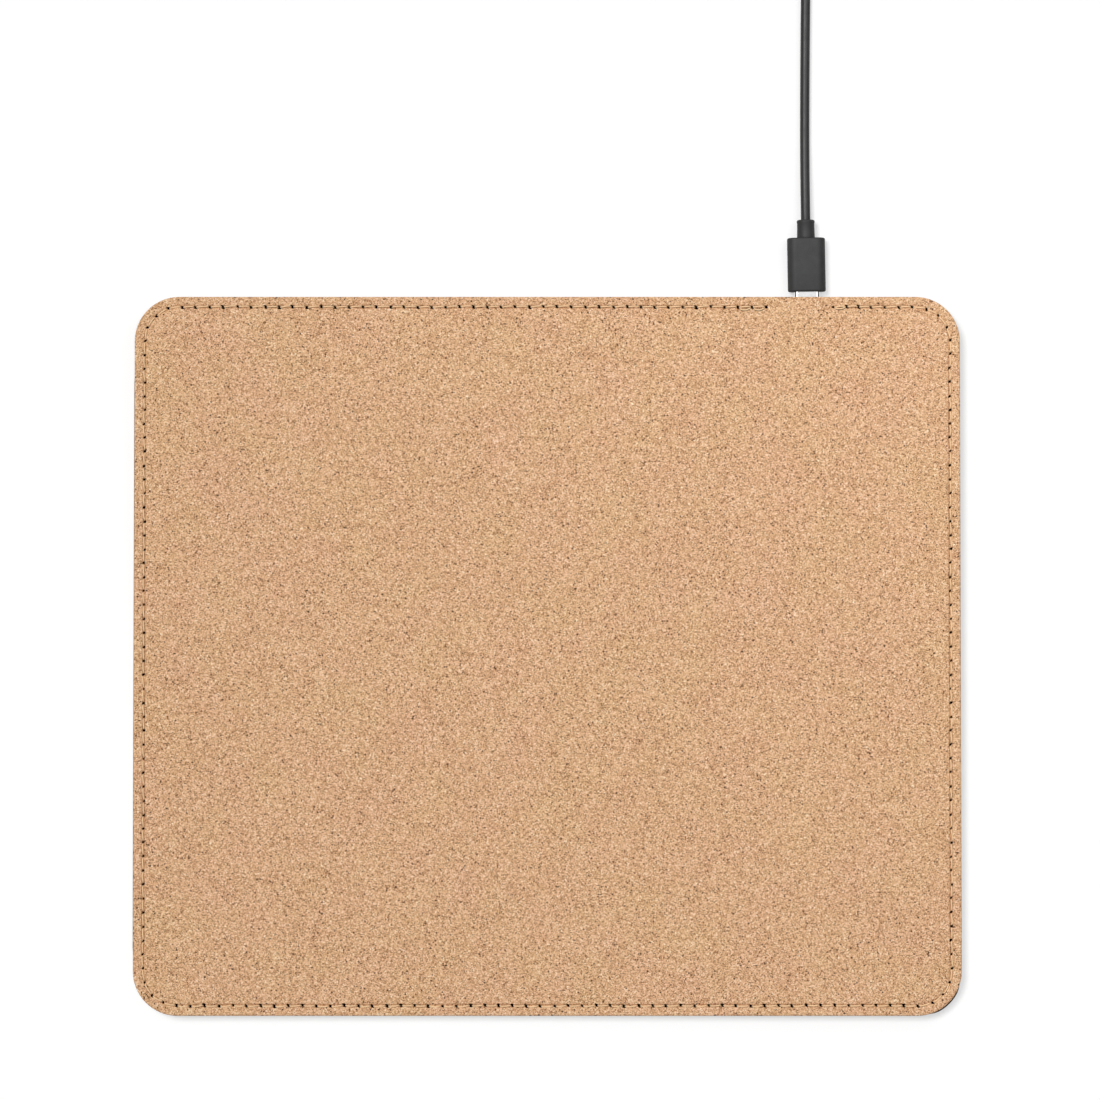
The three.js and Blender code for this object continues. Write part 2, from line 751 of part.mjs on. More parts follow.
function makePlug() {
  const plug = new THREE.Group();
  plug.position.set(portOffset, padWidth / 2 + plugGap, portHeight);
  const outer = stadium(plugTipWidth, plugTipHeight);
  const bore = stadium(plugTipWidth - 2 * plugTipWall, plugTipHeight - 2 * plugTipWall);
  const shell = sleeve(outer, bore, plugTipLength).translate(0, -plugTipLength, 0);
  plug.add(piece('plug_shell', shell, finishes.socketSteel));

  const inset = plugTipWall + plugInsertClearance;
  const filling = prism(stadium(plugTipWidth - 2 * inset, plugTipHeight - 2 * inset), plugTipLength)
    .rotateX(-Math.PI / 2).translate(0, -plugTipLength, 0);
  const slot = block(plugSlotWidth, plugSlotDepth + cutterOverrun, plugSlotHeight)
    .translate(0, (plugSlotDepth - cutterOverrun) / 2 - plugTipLength, -plugSlotHeight / 2);
  plug.add(piece('plug_insert', cut(filling, slot), finishes.blackPlastic));

  const corner = plugBodyHeight / 2;
  const body = mouldedBody(plugBodyWidth, plugBodyHeight, corner, plugBodyLength, plugBodyRounding);
  plug.add(piece('plug_overmould', body, finishes.blackPlastic));

  const relief = neck(plugNeckRootDiameter, plugNeckDiameter, plugNeckLength, plugNeckRounding);
  const sleeveMesh = piece('plug_strain_relief', relief, finishes.blackPlastic);
  sleeveMesh.position.y = plugBodyLength;
  plug.add(sleeveMesh);
  return plug;
}

// Lead. The routes of its two free stretches are chosen by hand and keep their points.

const cordExitY = padWidth / 2 + plugGap + plugBodyLength + plugNeckLength;
const windingMeanRadius = windingMeanDiameter / 2;
const windingRadius = windingMeanRadius + windingPitch * windingTurns / 4;
const windingCentreX = portOffset - windingRadius;
const windingLow = windingLift + cordDiameter / 2;
const windingHigh = windingLow + windingPitch;
const farPlugX = windingCentreX - 27.3;
const farPlugY = windingCentreY + windingRadius;
const farPlugHeight = farBodyLift + farBodyHeight / 2;

const freeRoute = [
  [portOffset, cordExitY + cordGap, portHeight],
  [portOffset, 144, 2.8],
  [portOffset, 151, 2.4],
  [portOffset, 158, 1.85],
  [portOffset, 165, 1.6],
  [portOffset, 173, 1.56],
  [portOffset, 181, 1.56],
  [portOffset, 189, 1.56],
  [portOffset, 197, 1.56],
  [portOffset, 205, 1.56],
  [portOffset, 213, 1.6],
  [portOffset, 220, 1.85],
  [portOffset, 227, 2.2],
  [portOffset, windingCentreY - cordDiameter - cordGap, windingLow],
];

const tailRoute = [
  [windingCentreX - cordDiameter - cordGap, farPlugY, windingHigh],
  [windingCentreX - 8, farPlugY, 5.6],
  [windingCentreX - 14, farPlugY, 4.95],
  [windingCentreX - 20, farPlugY, 4.25],
  [windingCentreX - 24, farPlugY, farPlugHeight],
  [farPlugX + cordGap, farPlugY, farPlugHeight],
];

function freeCord(route) {
  const curve = new THREE.CatmullRomCurve3(route.map((place) => new THREE.Vector3(...place)));
  const steps = Math.ceil(curve.getLength() / cordStep);
  const section = new THREE.Shape(roundSection(cordDiameter, cordSides));
  console.log('cord stretch', curve.getLength().toFixed(1));
  return new THREE.ExtrudeGeometry(section, { steps, extrudePath: curve, bevelEnabled: false });
}

// Two layers: in on the lower one, up in the half turn that reverses, out on the upper
function windingPoints() {
  const points = [new THREE.Vector3(windingRadius, -cordDiameter, 0)];
  const steps = loopSteps * windingTurns;
  for (let step = 0; step <= steps; step += 1) {
    const turns = step / loopSteps;
    const fromMiddle = turns - windingTurns / 2;
    const radius = windingRadius - windingPitch * (windingTurns / 2 - Math.abs(fromMiddle));
    const angle = 2 * Math.PI * turns;
    const height = windingPitch * easeStep(fromMiddle / 0.5 + 0.5);
    points.push(new THREE.Vector3(radius * Math.cos(angle), radius * Math.sin(angle), height));
  }
  points.push(new THREE.Vector3(-cordDiameter, windingRadius, windingPitch));
  return points;
}

function makeTie() {
  const innerRadius = windingRadius - windingPitch * windingTurns / 2 - cordDiameter / 2 - tieClearance;
  const outerTurn = windingRadius - windingPitch * (windingTurns / 2 % 1);
  const outerRadius = outerTurn + cordDiameter / 2 + tieClearance;
  const innerWidth = outerRadius - innerRadius;
  const innerHeight = windingPitch + cordDiameter + 2 * tieClearance;
  const inner = roundedOutline(innerWidth, innerHeight, tieCornerRadius, smallCornerSteps);
  const outer = roundedOutline(
    innerWidth + 2 * tieThickness,
    innerHeight + 2 * tieThickness,
    tieCornerRadius + tieThickness,
    smallCornerSteps,
  );
  const strap = sleeve(outer, inner, tieWidth).translate((innerRadius + outerRadius) / 2, -tieWidth / 2, 0);
  const tie = piece('cable_tie', strap, finishes.tieStrap);
  tie.rotation.z = windingTurns / 2 % 1 * 2 * Math.PI;
  tie.position.z = windingPitch / 2;
  return tie;
}

function makeLead() {
  const lead = new THREE.Group();
  lead.add(piece('cable', freeCord(freeRoute), finishes.cordJacket));
  const winding = new THREE.Group();
  winding.position.set(windingCentreX, windingCentreY, windingLow);
  const turns = windingPoints();
  console.log('cable coil least gap', leastGap(turns, cordDiameter).toFixed(3));
  console.log('cable coil length', travel(turns).toFixed(1));
  const coil = sweep(turns, roundSection(cordDiameter, windingSides));
  winding.add(piece('cable_coil', coil, finishes.cordJacket));
  winding.add(makeTie());
  lead.add(winding);
  lead.add(piece('cable_end', freeCord(tailRoute), finishes.cordJacket));
  return lead;
}

// Far plug, in a frame whose Y runs out of the lead's end

function makeFarPlug() {
  const plug = new THREE.Group();
  plug.position.set(farPlugX, farPlugY, farPlugHeight);
  plug.rotation.z = Math.PI / 2;

  const relief = neck(farNeckRootDiameter, farNeckDiameter, farNeckLength, farNeckRounding)
    .rotateX(Math.PI).translate(0, farNeckLength, 0);
  plug.add(piece('far_plug_strain_relief', relief, finishes.blackPlastic));

  const body = mouldedBody(farBodyWidth, farBodyHeight, farBodyCorner, farBodyLength, farBodyRounding);
  const overmould = piece('far_plug_overmould', body, finishes.blackPlastic);
  overmould.position.y = farNeckLength;
  plug.add(overmould);

  const tip = new THREE.Group();
  tip.position.y = farNeckLength + farBodyLength;
  const outer = roundedOutline(farTipWidth, farTipHeight, farTipCorner, smallCornerSteps);
  const boreWidth = farTipWidth - 2 * farTipWall;
  const boreHeight = farTipHeight - 2 * farTipWall;
  const bore = roundedOutline(boreWidth, boreHeight, farTipCorner - farTipWall, smallCornerSteps);
  tip.add(piece('far_plug_shell', sleeve(outer, bore, farTipLength), finishes.socketSteel));

  const insertWidth = boreWidth - 2 * (farTipCorner - farTipWall);
  const insertLength = farTipLength - farInsertSetback;
  const insertFloor = farInsertClearance - boreHeight / 2;
  const filling = block(insertWidth, insertLength, farInsertHeight);
  const insert = piece('far_plug_insert', filling, finishes.blackPlastic);
  insert.position.set(0, insertLength / 2, insertFloor);
  tip.add(insert);
  for (let place = 0; place < 4; place += 1) {
    const strip = block(farContactWidth, farContactLength, farContactThickness);
    const contact = piece(`far_plug_contact_${place + 1}`, strip, finishes.gildedContact);
    contact.position.set(
      (place - 1.5) * farContactPitch,
      insertLength - farContactSetback - farContactLength / 2,
      insertFloor + farInsertHeight,
    );
    tip.add(contact);
  }
  plug.add(tip);
  return plug;
}

const mousePad = new THREE.Group();
mousePad.add(makePad());

const chargerModule = new THREE.Group();
chargerModule.position.set(portOffset, padWidth / 2, 0);
chargerModule.add(makeHousing(), makeCoilStack(), makeBoard(), makeSocket());
mousePad.add(chargerModule);

mousePad.add(makePlug(), makeLead(), makeFarPlug());

export default mousePad;
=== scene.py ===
import math
import random
from contextlib import contextmanager

import bmesh
import bpy
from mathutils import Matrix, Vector


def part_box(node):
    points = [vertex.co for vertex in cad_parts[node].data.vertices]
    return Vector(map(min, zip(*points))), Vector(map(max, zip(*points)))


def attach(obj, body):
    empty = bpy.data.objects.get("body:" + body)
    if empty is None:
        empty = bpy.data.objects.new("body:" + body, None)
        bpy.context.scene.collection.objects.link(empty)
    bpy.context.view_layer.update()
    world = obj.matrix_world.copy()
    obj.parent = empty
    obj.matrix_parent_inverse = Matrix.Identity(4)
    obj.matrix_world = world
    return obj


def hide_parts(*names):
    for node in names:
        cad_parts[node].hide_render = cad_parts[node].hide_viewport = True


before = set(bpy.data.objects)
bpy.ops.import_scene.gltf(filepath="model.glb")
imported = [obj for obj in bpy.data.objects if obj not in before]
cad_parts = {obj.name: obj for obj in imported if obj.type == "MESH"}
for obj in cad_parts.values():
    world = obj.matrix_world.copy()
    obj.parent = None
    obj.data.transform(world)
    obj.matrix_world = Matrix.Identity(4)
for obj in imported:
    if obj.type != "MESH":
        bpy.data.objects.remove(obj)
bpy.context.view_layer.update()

# A cork mouse pad with a wireless charger inside and its plug-in lead.
# Lengths are written in millimetres and used in metres.
MM = 0.001

# Camera: straight above, a little towards the user
VIEW_X = 0.85
VIEW_Y = 33.15
VIEW_HEIGHT = 6.0
VIEW_DISTANCE = 1500
VIEW_WIDTH = 346
VIEW_TILT = 2.05
SENSOR = 36

# Light: a broad lamp overhead to the upper left, a weak one to the upper right, and a sky
# that is bright overhead and dim towards the horizon
SUN_HEIGHT = 65.5
SUN_BEARING = 54
SUN_WIDTH = 20
SUN_STRENGTH = 2.28
FILL_PLACE = (220, 250, 300)
FILL_SIDE = 250
FILL_POWER = 0.36
SKY_OVERHEAD = 0.55
SKY_HORIZON = 0.05
FLOOR_SIDE = 4000
FLOOR_DROP = 0.03
FLOOR_TONE = 0.44
GLOW_UNDER_FILL = 0.475
GLOW_AWAY = 0.6
GLOW_REACH = 450

# Pad
PAD_CORNER = 14
PAD_CORNER_STEPS = 16
CORK_RIM = 0.4
BASE_RIM = 0.25
PORT_X = 82
LEFT_PEEK = 0.52
LEFT_PEEK_CUTS = (97, 86, -92, -98)
LEFT_PEEK_SPAN = (-93, 87)
CORNER_PEEK = 0.6

# Seam
SEAM_INSET = 3.2
SEAM_END_LEFT = 13.05
SEAM_END_RIGHT = 8.18
VALLEY_DEPTH = 0.42
VALLEY_END = 0.6
VALLEY_SLOPE = 0.8
# Valley faces deeper than this take the cork that is darker for being compressed and for painted
# shade
SHADED_VALLEY_DEPTH = 0.25
STITCH = 4.38
SLOW_START = 1.35
HOLE_DRIFT = 0.22
HOLE_STRAY = 0.15
HOLE_LENGTH = 1.7
HOLE_WIDTH = 1.1
HOLE_DEPTH = 0.72
HOLE_SLANT = 24
THREAD = 0.5
THREAD_CROWN = 0.18
THREAD_SINK = 0.95
BOBBIN_CROWN = 0.27
BOBBIN_SINK = 1.05
NEEDLE_TACKS = (0.6, 0.95)
BOBBIN_TACKS = (0.5, 0.5)
TACK_GROOVE = 0.84
STITCH_SHARES = (0.0, 0.09, 0.13, 0.17, 0.21, 0.35, 0.5, 0.65, 0.79, 0.83, 0.87, 0.91)
CLIMB_START = 0.09
CLIMB_LENGTH = 0.12

# Lead
CORD = 3
PLUG_AXIS = 2.85
BODY_SHIFT = -0.25
PLUG_LEAN = 0.85
SLEEVE_WALL = 0.3
GRIP_DEPTH = 0.35
WINDING_TURNS = 7.25
WINDING_PITCH = 3.45
WINDING_RADIUS = 24.253
WINDING_X = 57.747
WINDING_Y = 238
WINDING_LOW = 2.25
FREE_ROUTE = [
    (81.64, 137.0, 2.85), (81.54, 144, 2.8), (81.48, 151, 2.4), (81.46, 158, 1.85),
    (81.46, 165, 1.6), (81.49, 173, 1.56), (81.54, 181, 1.56), (81.6, 189, 1.56),
    (81.68, 197, 1.56), (81.77, 205, 1.56), (81.86, 213, 1.6), (81.94, 220, 1.85),
    (82, 227, 2.2), (82, 234.7, 2.25),
]
TAIL_ROUTE = [(-3.3, 5.7), (-8, 5.6), (-14, 4.95), (-20, 4.25), (-24, 4.0), (-27.8, 4.0)]


# Tools for modelling

def node_box(node):
    """A CAD node's lowest and highest corners, in millimetres."""
    low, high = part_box(node)
    return low / MM, high / MM


def deselect():
    bpy.ops.object.select_all(action="DESELECT")


def take(made):
    deselect()
    bpy.context.view_layer.objects.active = made
    made.select_set(True)


def primitive(name, add, **settings):
    """Adds a primitive with its place in its mesh."""
    deselect()
    add(**settings)
    made = bpy.context.object
    made.name = made.data.name = name
    bpy.ops.object.transform_apply(location=True, rotation=True, scale=True)
    return made


def block(name, low, high):
    """A cube that fills the box between two corners, in millimetres."""
    low, high = Vector(low), Vector(high)
    return primitive(name, bpy.ops.mesh.primitive_cube_add, size=1,
                     location=(low + high) / 2 * MM, scale=(high - low) * MM)


@contextmanager
def editing(made):
    take(made)
    bpy.ops.object.mode_set(mode="EDIT")
    yield
    bpy.ops.object.mode_set(mode="OBJECT")


def pick(made, kind, wanted):
    """Selects the points, edges or faces for which wanted is true."""
    bpy.ops.mesh.select_mode(type=kind)
    bpy.ops.mesh.select_all(action="DESELECT")
    cage = bmesh.from_edit_mesh(made.data)
    for part in {"VERT": cage.verts, "EDGE": cage.edges, "FACE": cage.faces}[kind]:
        if wanted(part):
            part.select_set(True)
    cage.select_flush_mode()
    bmesh.update_edit_mesh(made.data)


def runs_along(edge, axis):
    line = edge.verts[1].co - edge.verts[0].co
    return abs(line[axis]) > 0.99 * line.length


def facing(face, axis, sign):
    return face.normal[axis] * sign > 0.99


def ends_of(edge, axis):
    """True for an edge between an end face across the axis and a side face."""
    flat = [abs(face.normal[axis]) > 0.99 for face in edge.link_faces]
    return len(flat) == 2 and flat[0] != flat[1]


def bevel(offset, segments):
    bpy.ops.mesh.bevel(offset=offset * MM, segments=segments, affect="EDGES")


def rounded_block(name, low, high, axis, corner, segments):
    """A block whose edges along one axis are rounded."""
    made = block(name, low, high)
    with editing(made):
        pick(made, "EDGE", lambda edge: runs_along(edge, axis))
        bevel(corner, segments)
    return made


def open_sleeve(name, low, high, axis, corner, segments, wall):
    """A thin sheet bent round into a sleeve along an axis, open at both ends."""
    made = rounded_block(name, low, high, axis, corner, segments)
    with editing(made):
        pick(made, "FACE", lambda face: abs(face.normal[axis]) > 0.99)
        bpy.ops.mesh.delete(type="ONLY_FACE")
    return modify(made, "SOLIDIFY", thickness=wall * MM, offset=-1)


def inset(steps):
    """Insets the chosen face again and again, by (inwards, outwards) in millimetres."""
    for inwards, outwards in steps:
        bpy.ops.mesh.inset(thickness=inwards * MM, depth=outwards * MM)


def quarter_round(radius, steps):
    """The insets that turn an upright wall over into a level face."""
    angles = [math.pi / 2 * step / steps for step in range(steps + 1)]
    return [(radius * (math.cos(a) - math.cos(b)), radius * (math.sin(b) - math.sin(a)))
            for a, b in zip(angles, angles[1:])]


def turned(name, axis, across, profile, sides=40):
    """A round piece on an axis through a point, from (place, radius) pairs along that axis."""
    middle = [c * MM for c in across]

    def widen(share):
        size = [share] * 3
        size[axis] = 1
        bpy.ops.transform.resize(value=size, center_override=middle)

    (first, radius), (second, after) = profile[:2]
    centre = list(across)
    centre[axis] = (first + second) / 2
    lying = {0: (0, math.pi / 2, 0), 1: (math.pi / 2, 0, 0)}[axis]
    made = primitive(name, bpy.ops.mesh.primitive_cylinder_add, vertices=sides, radius=radius * MM,
                     depth=(second - first) * MM, rotation=lying, location=[c * MM for c in centre])
    with editing(made):
        pick(made, "FACE", lambda face: facing(face, axis, 1))
        widen(after / radius)
        for (place, radius), (next_place, next_radius) in zip(profile[1:], profile[2:]):
            move = [0, 0, 0]
            move[axis] = (next_place - place) * MM
            bpy.ops.mesh.extrude_region_move(TRANSFORM_OT_translate={"value": move})
            widen(next_radius / radius)
    return made


def smooth(made, angle):
    take(made)
    bpy.ops.object.shade_smooth_by_angle(angle=math.radians(angle))
    return made


def modify(made, kind, **settings):
    """Adds a modifier and applies it."""
    take(made)
    added = made.modifiers.new(kind.title(), kind)
    for name, value in settings.items():
        setattr(added, name, value)
    bpy.ops.object.modifier_apply(modifier=added.name)
    return made


def carve(made, cutter, **settings):
    """Cuts one piece out of another, and removes the cutter."""
    modify(made, "BOOLEAN", object=cutter, operation="DIFFERENCE", solver="EXACT", **settings)
    bpy.data.objects.remove(cutter)


def join(pieces):
    deselect()
    for one in pieces:
        one.select_set(True)
    bpy.context.view_layer.objects.active = pieces[0]
    bpy.ops.object.join()
    return pieces[0]


def tube(name, line, thickness, sides_level):
    """A closed mesh tube along a line of points, in millimetres."""
    curve = bpy.data.curves.new(name, "CURVE")
    curve.dimensions = "3D"
    curve.bevel_depth = thickness / 2 * MM
    curve.bevel_resolution = sides_level
    curve.use_fill_caps = True
    curve.twist_mode = "Z_UP"
    spline = curve.splines.new("POLY")
    spline.points.add(len(line) - 1)
    for point, place in zip(spline.points, line):
        point.co = (*(c * MM for c in place), 1)
    made = bpy.data.objects.new(name, curve)
    bpy.context.collection.objects.link(made)
    take(made)
    bpy.ops.object.convert(target="MESH")
    made.data.name = name
    return made


def finished(made, material, body, slot, *nodes):
    """Gives a piece its material and says what it rides on and stands for."""
    if material:
        made.data.materials.clear()
        made.data.materials.append(material)
    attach(made, body)
    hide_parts(*nodes)


# Tools for materials

def feed(tree, socket, value):
    """Gives a socket a value, or links another node's output to it."""
    if isinstance(value, bpy.types.NodeSocket):
        tree.links.new(value, socket)
    else:
        socket.default_value = value


def put(tree, kind, inputs=None, **settings):
    """Adds a shader node; an input is a value or another node's output."""
    made = tree.nodes.new(kind)
    for name, value in settings.items():
        setattr(made, name, value)
    for name, value in (inputs or {}).items():
        feed(tree, made.inputs[name], value)
    return made


def maths(tree, operation, *values):
    inputs = dict(enumerate(values))
    return put(tree, "ShaderNodeMath", inputs, operation=operation).outputs[0]


def noise(tree, place, scale, detail, **more):
    """The value and the colour of a noise texture."""
    inputs = {"Vector": place, "Scale": scale, "Detail": detail, **more}
    return put(tree, "ShaderNodeTexNoise", inputs).outputs


def blend(tree, factor, first, second, way="MIX"):
    inputs = {0: factor, 6: first, 7: second}
    return put(tree, "ShaderNodeMix", inputs, data_type="RGBA", blend_type=way).outputs[2]


def ramp(tree, factor, *stops):
    """A colour ramp from (place, colour) stops."""
    made = put(tree, "ShaderNodeValToRGB", {"Fac": factor})
    scale = made.color_ramp
    while len(scale.elements) < len(stops):
        scale.elements.new(0.5)
    for element, (place, colour) in zip(scale.elements, stops):
        element.position = place
        element.color = colour
    return made.outputs["Color"]


def spread(tree, value, low, high, to_low=0.0, to_high=1.0):
    inputs = dict(enumerate((value, low, high, to_low, to_high)))
    return put(tree, "ShaderNodeMapRange", inputs).outputs[0]


def level(byte):
    share = byte / 255
    return share / 12.92 if share <= 0.04045 else ((share + 0.055) / 1.055) ** 2.4


def paint(red, green, blue):
    """A colour from its screen values, 0 to 255."""
    return (level(red), level(green), level(blue), 1)


def grey(tone):
    return paint(tone, tone, tone)


def effect(name, inputs, outputs):
    """An empty node group with named sockets, and its two end nodes."""
    tree = bpy.data.node_groups.new(name, "ShaderNodeTree")
    for label, kind, value in inputs:
        socket = tree.interface.new_socket(label, in_out="INPUT", socket_type=kind)
        if value is not None:
            socket.default_value = value
    for label, kind in outputs:
        tree.interface.new_socket(label, in_out="OUTPUT", socket_type=kind)
    return tree, put(tree, "NodeGroupInput").outputs, put(tree, "NodeGroupOutput").inputs


def use(tree, group, **inputs):
    """Places an effect in a material with that material's own values."""
    return put(tree, "ShaderNodeGroup", inputs, node_tree=group).outputs


FLOAT = "NodeSocketFloat"
VECTOR = "NodeSocketVector"


def make_fine_grain():
    """Speckle and small lumps of one size, as on moulded plastic, rubber or board."""
    tree, given, result = effect(
        "fine_grain",
        [("Place", VECTOR, None), ("Size", FLOAT, 0.3), ("Sharpness", FLOAT, 0.5)],
        [("Tone", FLOAT), ("Height", FLOAT)],
    )
    scale = maths(tree, "DIVIDE", 1 / MM, given["Size"])
    small = noise(tree, given["Place"], scale, 3.0, Roughness=given["Sharpness"])[0]
    broad = noise(tree, given["Place"], maths(tree, "DIVIDE", scale, 9.0), 2.0)[0]
    tree.links.new(small, result["Height"])
    tone = maths(tree, "ADD", maths(tree, "MULTIPLY", small, 0.6),
                 maths(tree, "MULTIPLY", broad, 0.4))
    tree.links.new(tone, result["Tone"])
    return tree


def crests(tree, turns):
    """One rounded crest for each whole turn."""
    return maths(tree, "ABSOLUTE", maths(tree, "SINE", maths(tree, "MULTIPLY", turns, math.pi)))


def make_plain_weave():
    """Yarns that pass over and under each other."""
    tree, given, result = effect(
        "plain_weave",
        [("Place", VECTOR, None), ("Yarn", FLOAT, 0.3)],
        [("Height", FLOAT)],
    )
    axes = put(tree, "ShaderNodeSeparateXYZ", {0: given["Place"]}).outputs
    pitch = maths(tree, "MULTIPLY", given["Yarn"], MM)
    turns = [maths(tree, "DIVIDE", axes[axis], pitch) for axis in (0, 1)]
    crowns = [crests(tree, turn) for turn in turns]
    counted = maths(tree, "ADD", maths(tree, "FLOOR", turns[0]), maths(tree, "FLOOR", turns[1]))
    check = maths(tree, "FLOORED_MODULO", counted, 2.0)
    warp = maths(tree, "MULTIPLY", check, crowns[0])
    weft = maths(tree, "MULTIPLY", maths(tree, "SUBTRACT", 1.0, check), crowns[1])
    tree.links.new(maths(tree, "ADD", warp, weft), result["Height"])
    return tree


def make_twisted_strands():
    """Strands laid round each other along a tube, from its own UV map."""
    tree, given, result = effect(
        "twisted_strands",
        [("Along", FLOAT, 0.0), ("Around", FLOAT, 0.0), ("Twists", FLOAT, 100.0),
         ("Strands", FLOAT, 3.0)],
        [("Height", FLOAT)],
    )
    turns = maths(tree, "ADD", maths(tree, "MULTIPLY", given["Along"], given["Twists"]),
                  maths(tree, "MULTIPLY", given["Around"], given["Strands"]))
    tree.links.new(crests(tree, turns), result["Height"])
    return tree


def make_handling():
    """Faint smears that change how glossy a surface is."""
    tree, given, result = effect(
        "handling",
        [("Place", VECTOR, None), ("Plain", FLOAT, 0.5), ("Spread", FLOAT, 0.1)],
        [("Roughness", FLOAT)],
    )
    smear = noise(tree, given["Place"], 140.0, 4.0, Distortion=1.5)[0]
    share = maths(tree, "MULTIPLY", maths(tree, "SUBTRACT", smear, 0.5), given["Spread"])
    tree.links.new(maths(tree, "ADD", given["Plain"], share), result["Roughness"])
    return tree


def make_cork_granules():
    """Pressed granules of cork: each has its own tone, and thin dark gaps part them."""
    tree, given, result = effect(
        "cork_granules",
        [("Place", VECTOR, None), ("Size", FLOAT, 0.7)],
        [("Tone", FLOAT), ("Gap", FLOAT)],
    )
    bent = noise(tree, given["Place"], 1400.0, 1.0)[1]
    share = maths(tree, "MULTIPLY", given["Size"], 0.25 * MM)
    bend = put(tree, "ShaderNodeVectorMath", {0: bent, "Scale": share}, operation="SCALE")
    place = put(tree, "ShaderNodeVectorMath", {0: given["Place"], 1: bend.outputs[0]},
                operation="ADD").outputs[0]
    scale = maths(tree, "DIVIDE", 1 / MM, given["Size"])
    cells = put(tree, "ShaderNodeTexVoronoi", {"Vector": place, "Scale": scale})
    tone = put(tree, "ShaderNodeSeparateColor", {0: cells.outputs["Color"]}).outputs[0]
    edges = put(tree, "ShaderNodeTexVoronoi", {"Vector": place, "Scale": scale},
                feature="DISTANCE_TO_EDGE")
    tree.links.new(tone, result["Tone"])
    tree.links.new(spread(tree, edges.outputs["Distance"], 0.0, 0.12, 1.0, 0.0), result["Gap"])
    return tree


fine_grain = make_fine_grain()
plain_weave = make_plain_weave()
twisted_strands = make_twisted_strands()
handling = make_handling()
cork_granules = make_cork_granules()


def new_material(name):
    """A material with only a Principled shader, its tree, and the object's own coordinates."""
    made = bpy.data.materials.new(name)
    made.use_nodes = True
    tree = made.node_tree
    tree.nodes.clear()
    shader = put(tree, "ShaderNodeBsdfPrincipled")
    out = put(tree, "ShaderNodeOutputMaterial")
    tree.links.new(shader.outputs[0], out.inputs["Surface"])
    coordinates = put(tree, "ShaderNodeTexCoord").outputs
    return made, tree, shader, coordinates


def dress(tree, shader, colour, roughness, height=None, relief=0.0, **plain):
    """Sets a shader: colours and masks are linked, constants stay on its own sockets."""
    feed(tree, shader.inputs["Base Color"], colour)
    feed(tree, shader.inputs["Roughness"], roughness)
    if height is not None:
        inputs = {"Height": height, "Distance": relief * MM, "Strength": 1.0}
        feed(tree, shader.inputs["Normal"], put(tree, "ShaderNodeBump", inputs).outputs[0])
    for name, value in plain.items():
        shader.inputs[name.replace("_", " ")].default_value = value


def speckled(name, dark, light, grain, sharpness=0.6, low=0.3, high=0.7):
    """A new material with a fine grain whose colour runs from dark to light."""
    made, tree, shader, given = new_material(name)
    place = given["Object"]
    speckle = use(tree, fine_grain, Place=place, Size=grain, Sharpness=sharpness)
    colour = ramp(tree, speckle["Tone"], (low, dark), (high, light))
    return made, tree, shader, place, speckle, colour


def handled(tree, place, roughness, smears):
    return use(tree, handling, Place=place, Plain=roughness, Spread=smears)["Roughness"]


def moulded_plastic(name, dark, light, roughness, grain=0.25, gloss=0.5):
    made, tree, shader, place, speckle, colour = speckled(name, dark, light, grain)
    worn = handled(tree, place, roughness, 0.16)
    dress(tree, shader, colour, worn, speckle["Height"], 0.02, Specular_IOR_Level=gloss)
    return made


def bright_metal(name, dark, light, roughness):
    made, tree, shader, place, speckle, colour = speckled(name, dark, light, 0.08, 0.5, 0.25, 0.75)
    worn = handled(tree, place, roughness, 0.2)
    dress(tree, shader, colour, worn, speckle["Height"], 0.002, Metallic=1.0)
    return made


def cork(name, cast):
    """Granules of cork with dark bark and pale flecks; the cast darkens it in the seam valley, for
    compressed cork and for painted shade.
    """
    made, tree, shader, given = new_material(name)
    place = given["Object"]
    coarse = use(tree, cork_granules, Place=place, Size=0.35)
    fine = use(tree, cork_granules, Place=place, Size=0.25)
    mixed = maths(tree, "MULTIPLY", maths(tree, "ADD", coarse["Tone"], fine["Tone"]), 0.5)
    cells = put(tree, "ShaderNodeTexVoronoi", {"Vector": place, "Scale": 1 / (0.6 * MM)})
    chance = put(tree, "ShaderNodeSeparateColor", {0: cells.outputs["Color"]}).outputs[1]
    core = spread(tree, cells.outputs["Distance"], 0.2, 0.55, 1.0, 0.0)
    bark = maths(tree, "MULTIPLY", spread(tree, chance, 0.94, 0.97), core)
    fleck = maths(tree, "MULTIPLY", spread(tree, chance, 0.04, 0.02), core)
    mixed = maths(tree, "SUBTRACT", mixed, bark)
    mixed = maths(tree, "ADD", mixed, maths(tree, "MULTIPLY", fleck, 0.3))
    colour = ramp(tree, mixed, (0.0, paint(60, 30, 14)), (0.25, paint(180, 132, 93)),
                  (0.5, paint(221, 174, 133)), (0.75, paint(240, 200, 160)),
                  (1.0, paint(255, 240, 216)))
    cloud = noise(tree, place, 70.0, 3.0)[0]
    tint = ramp(tree, cloud, (0.3, (1, 0.98, 1, 1)), (0.7, (0.985, 1, 0.955, 1)))
    colour = blend(tree, 1.0, colour, tint, "MULTIPLY")
    # The cast: darker for compressed cork and for painted shade of the crease, where it is not
    # white
    colour = blend(tree, 1.0, colour, cast, "MULTIPLY")
    height = maths(tree, "SUBTRACT", maths(tree, "MULTIPLY", fine["Tone"], 0.5), coarse["Gap"])
    roughness = spread(tree, mixed, 0.0, 1.0, 0.95, 0.85)
    dress(tree, shader, colour, roughness, height, 0.03, Specular_IOR_Level=0.2)
    return made


# Near-black painted shade for the walls of the needle holes and of the tack grooves
def needle_hole_shade():
    made, tree, shader, _, speckle, colour = speckled(
        "needle_hole_shade", paint(10, 4, 2), paint(30, 14, 6), 0.2)
    dress(tree, shader, colour, 0.95, speckle["Height"], 0.05, Specular_IOR_Level=0.0)
    return made


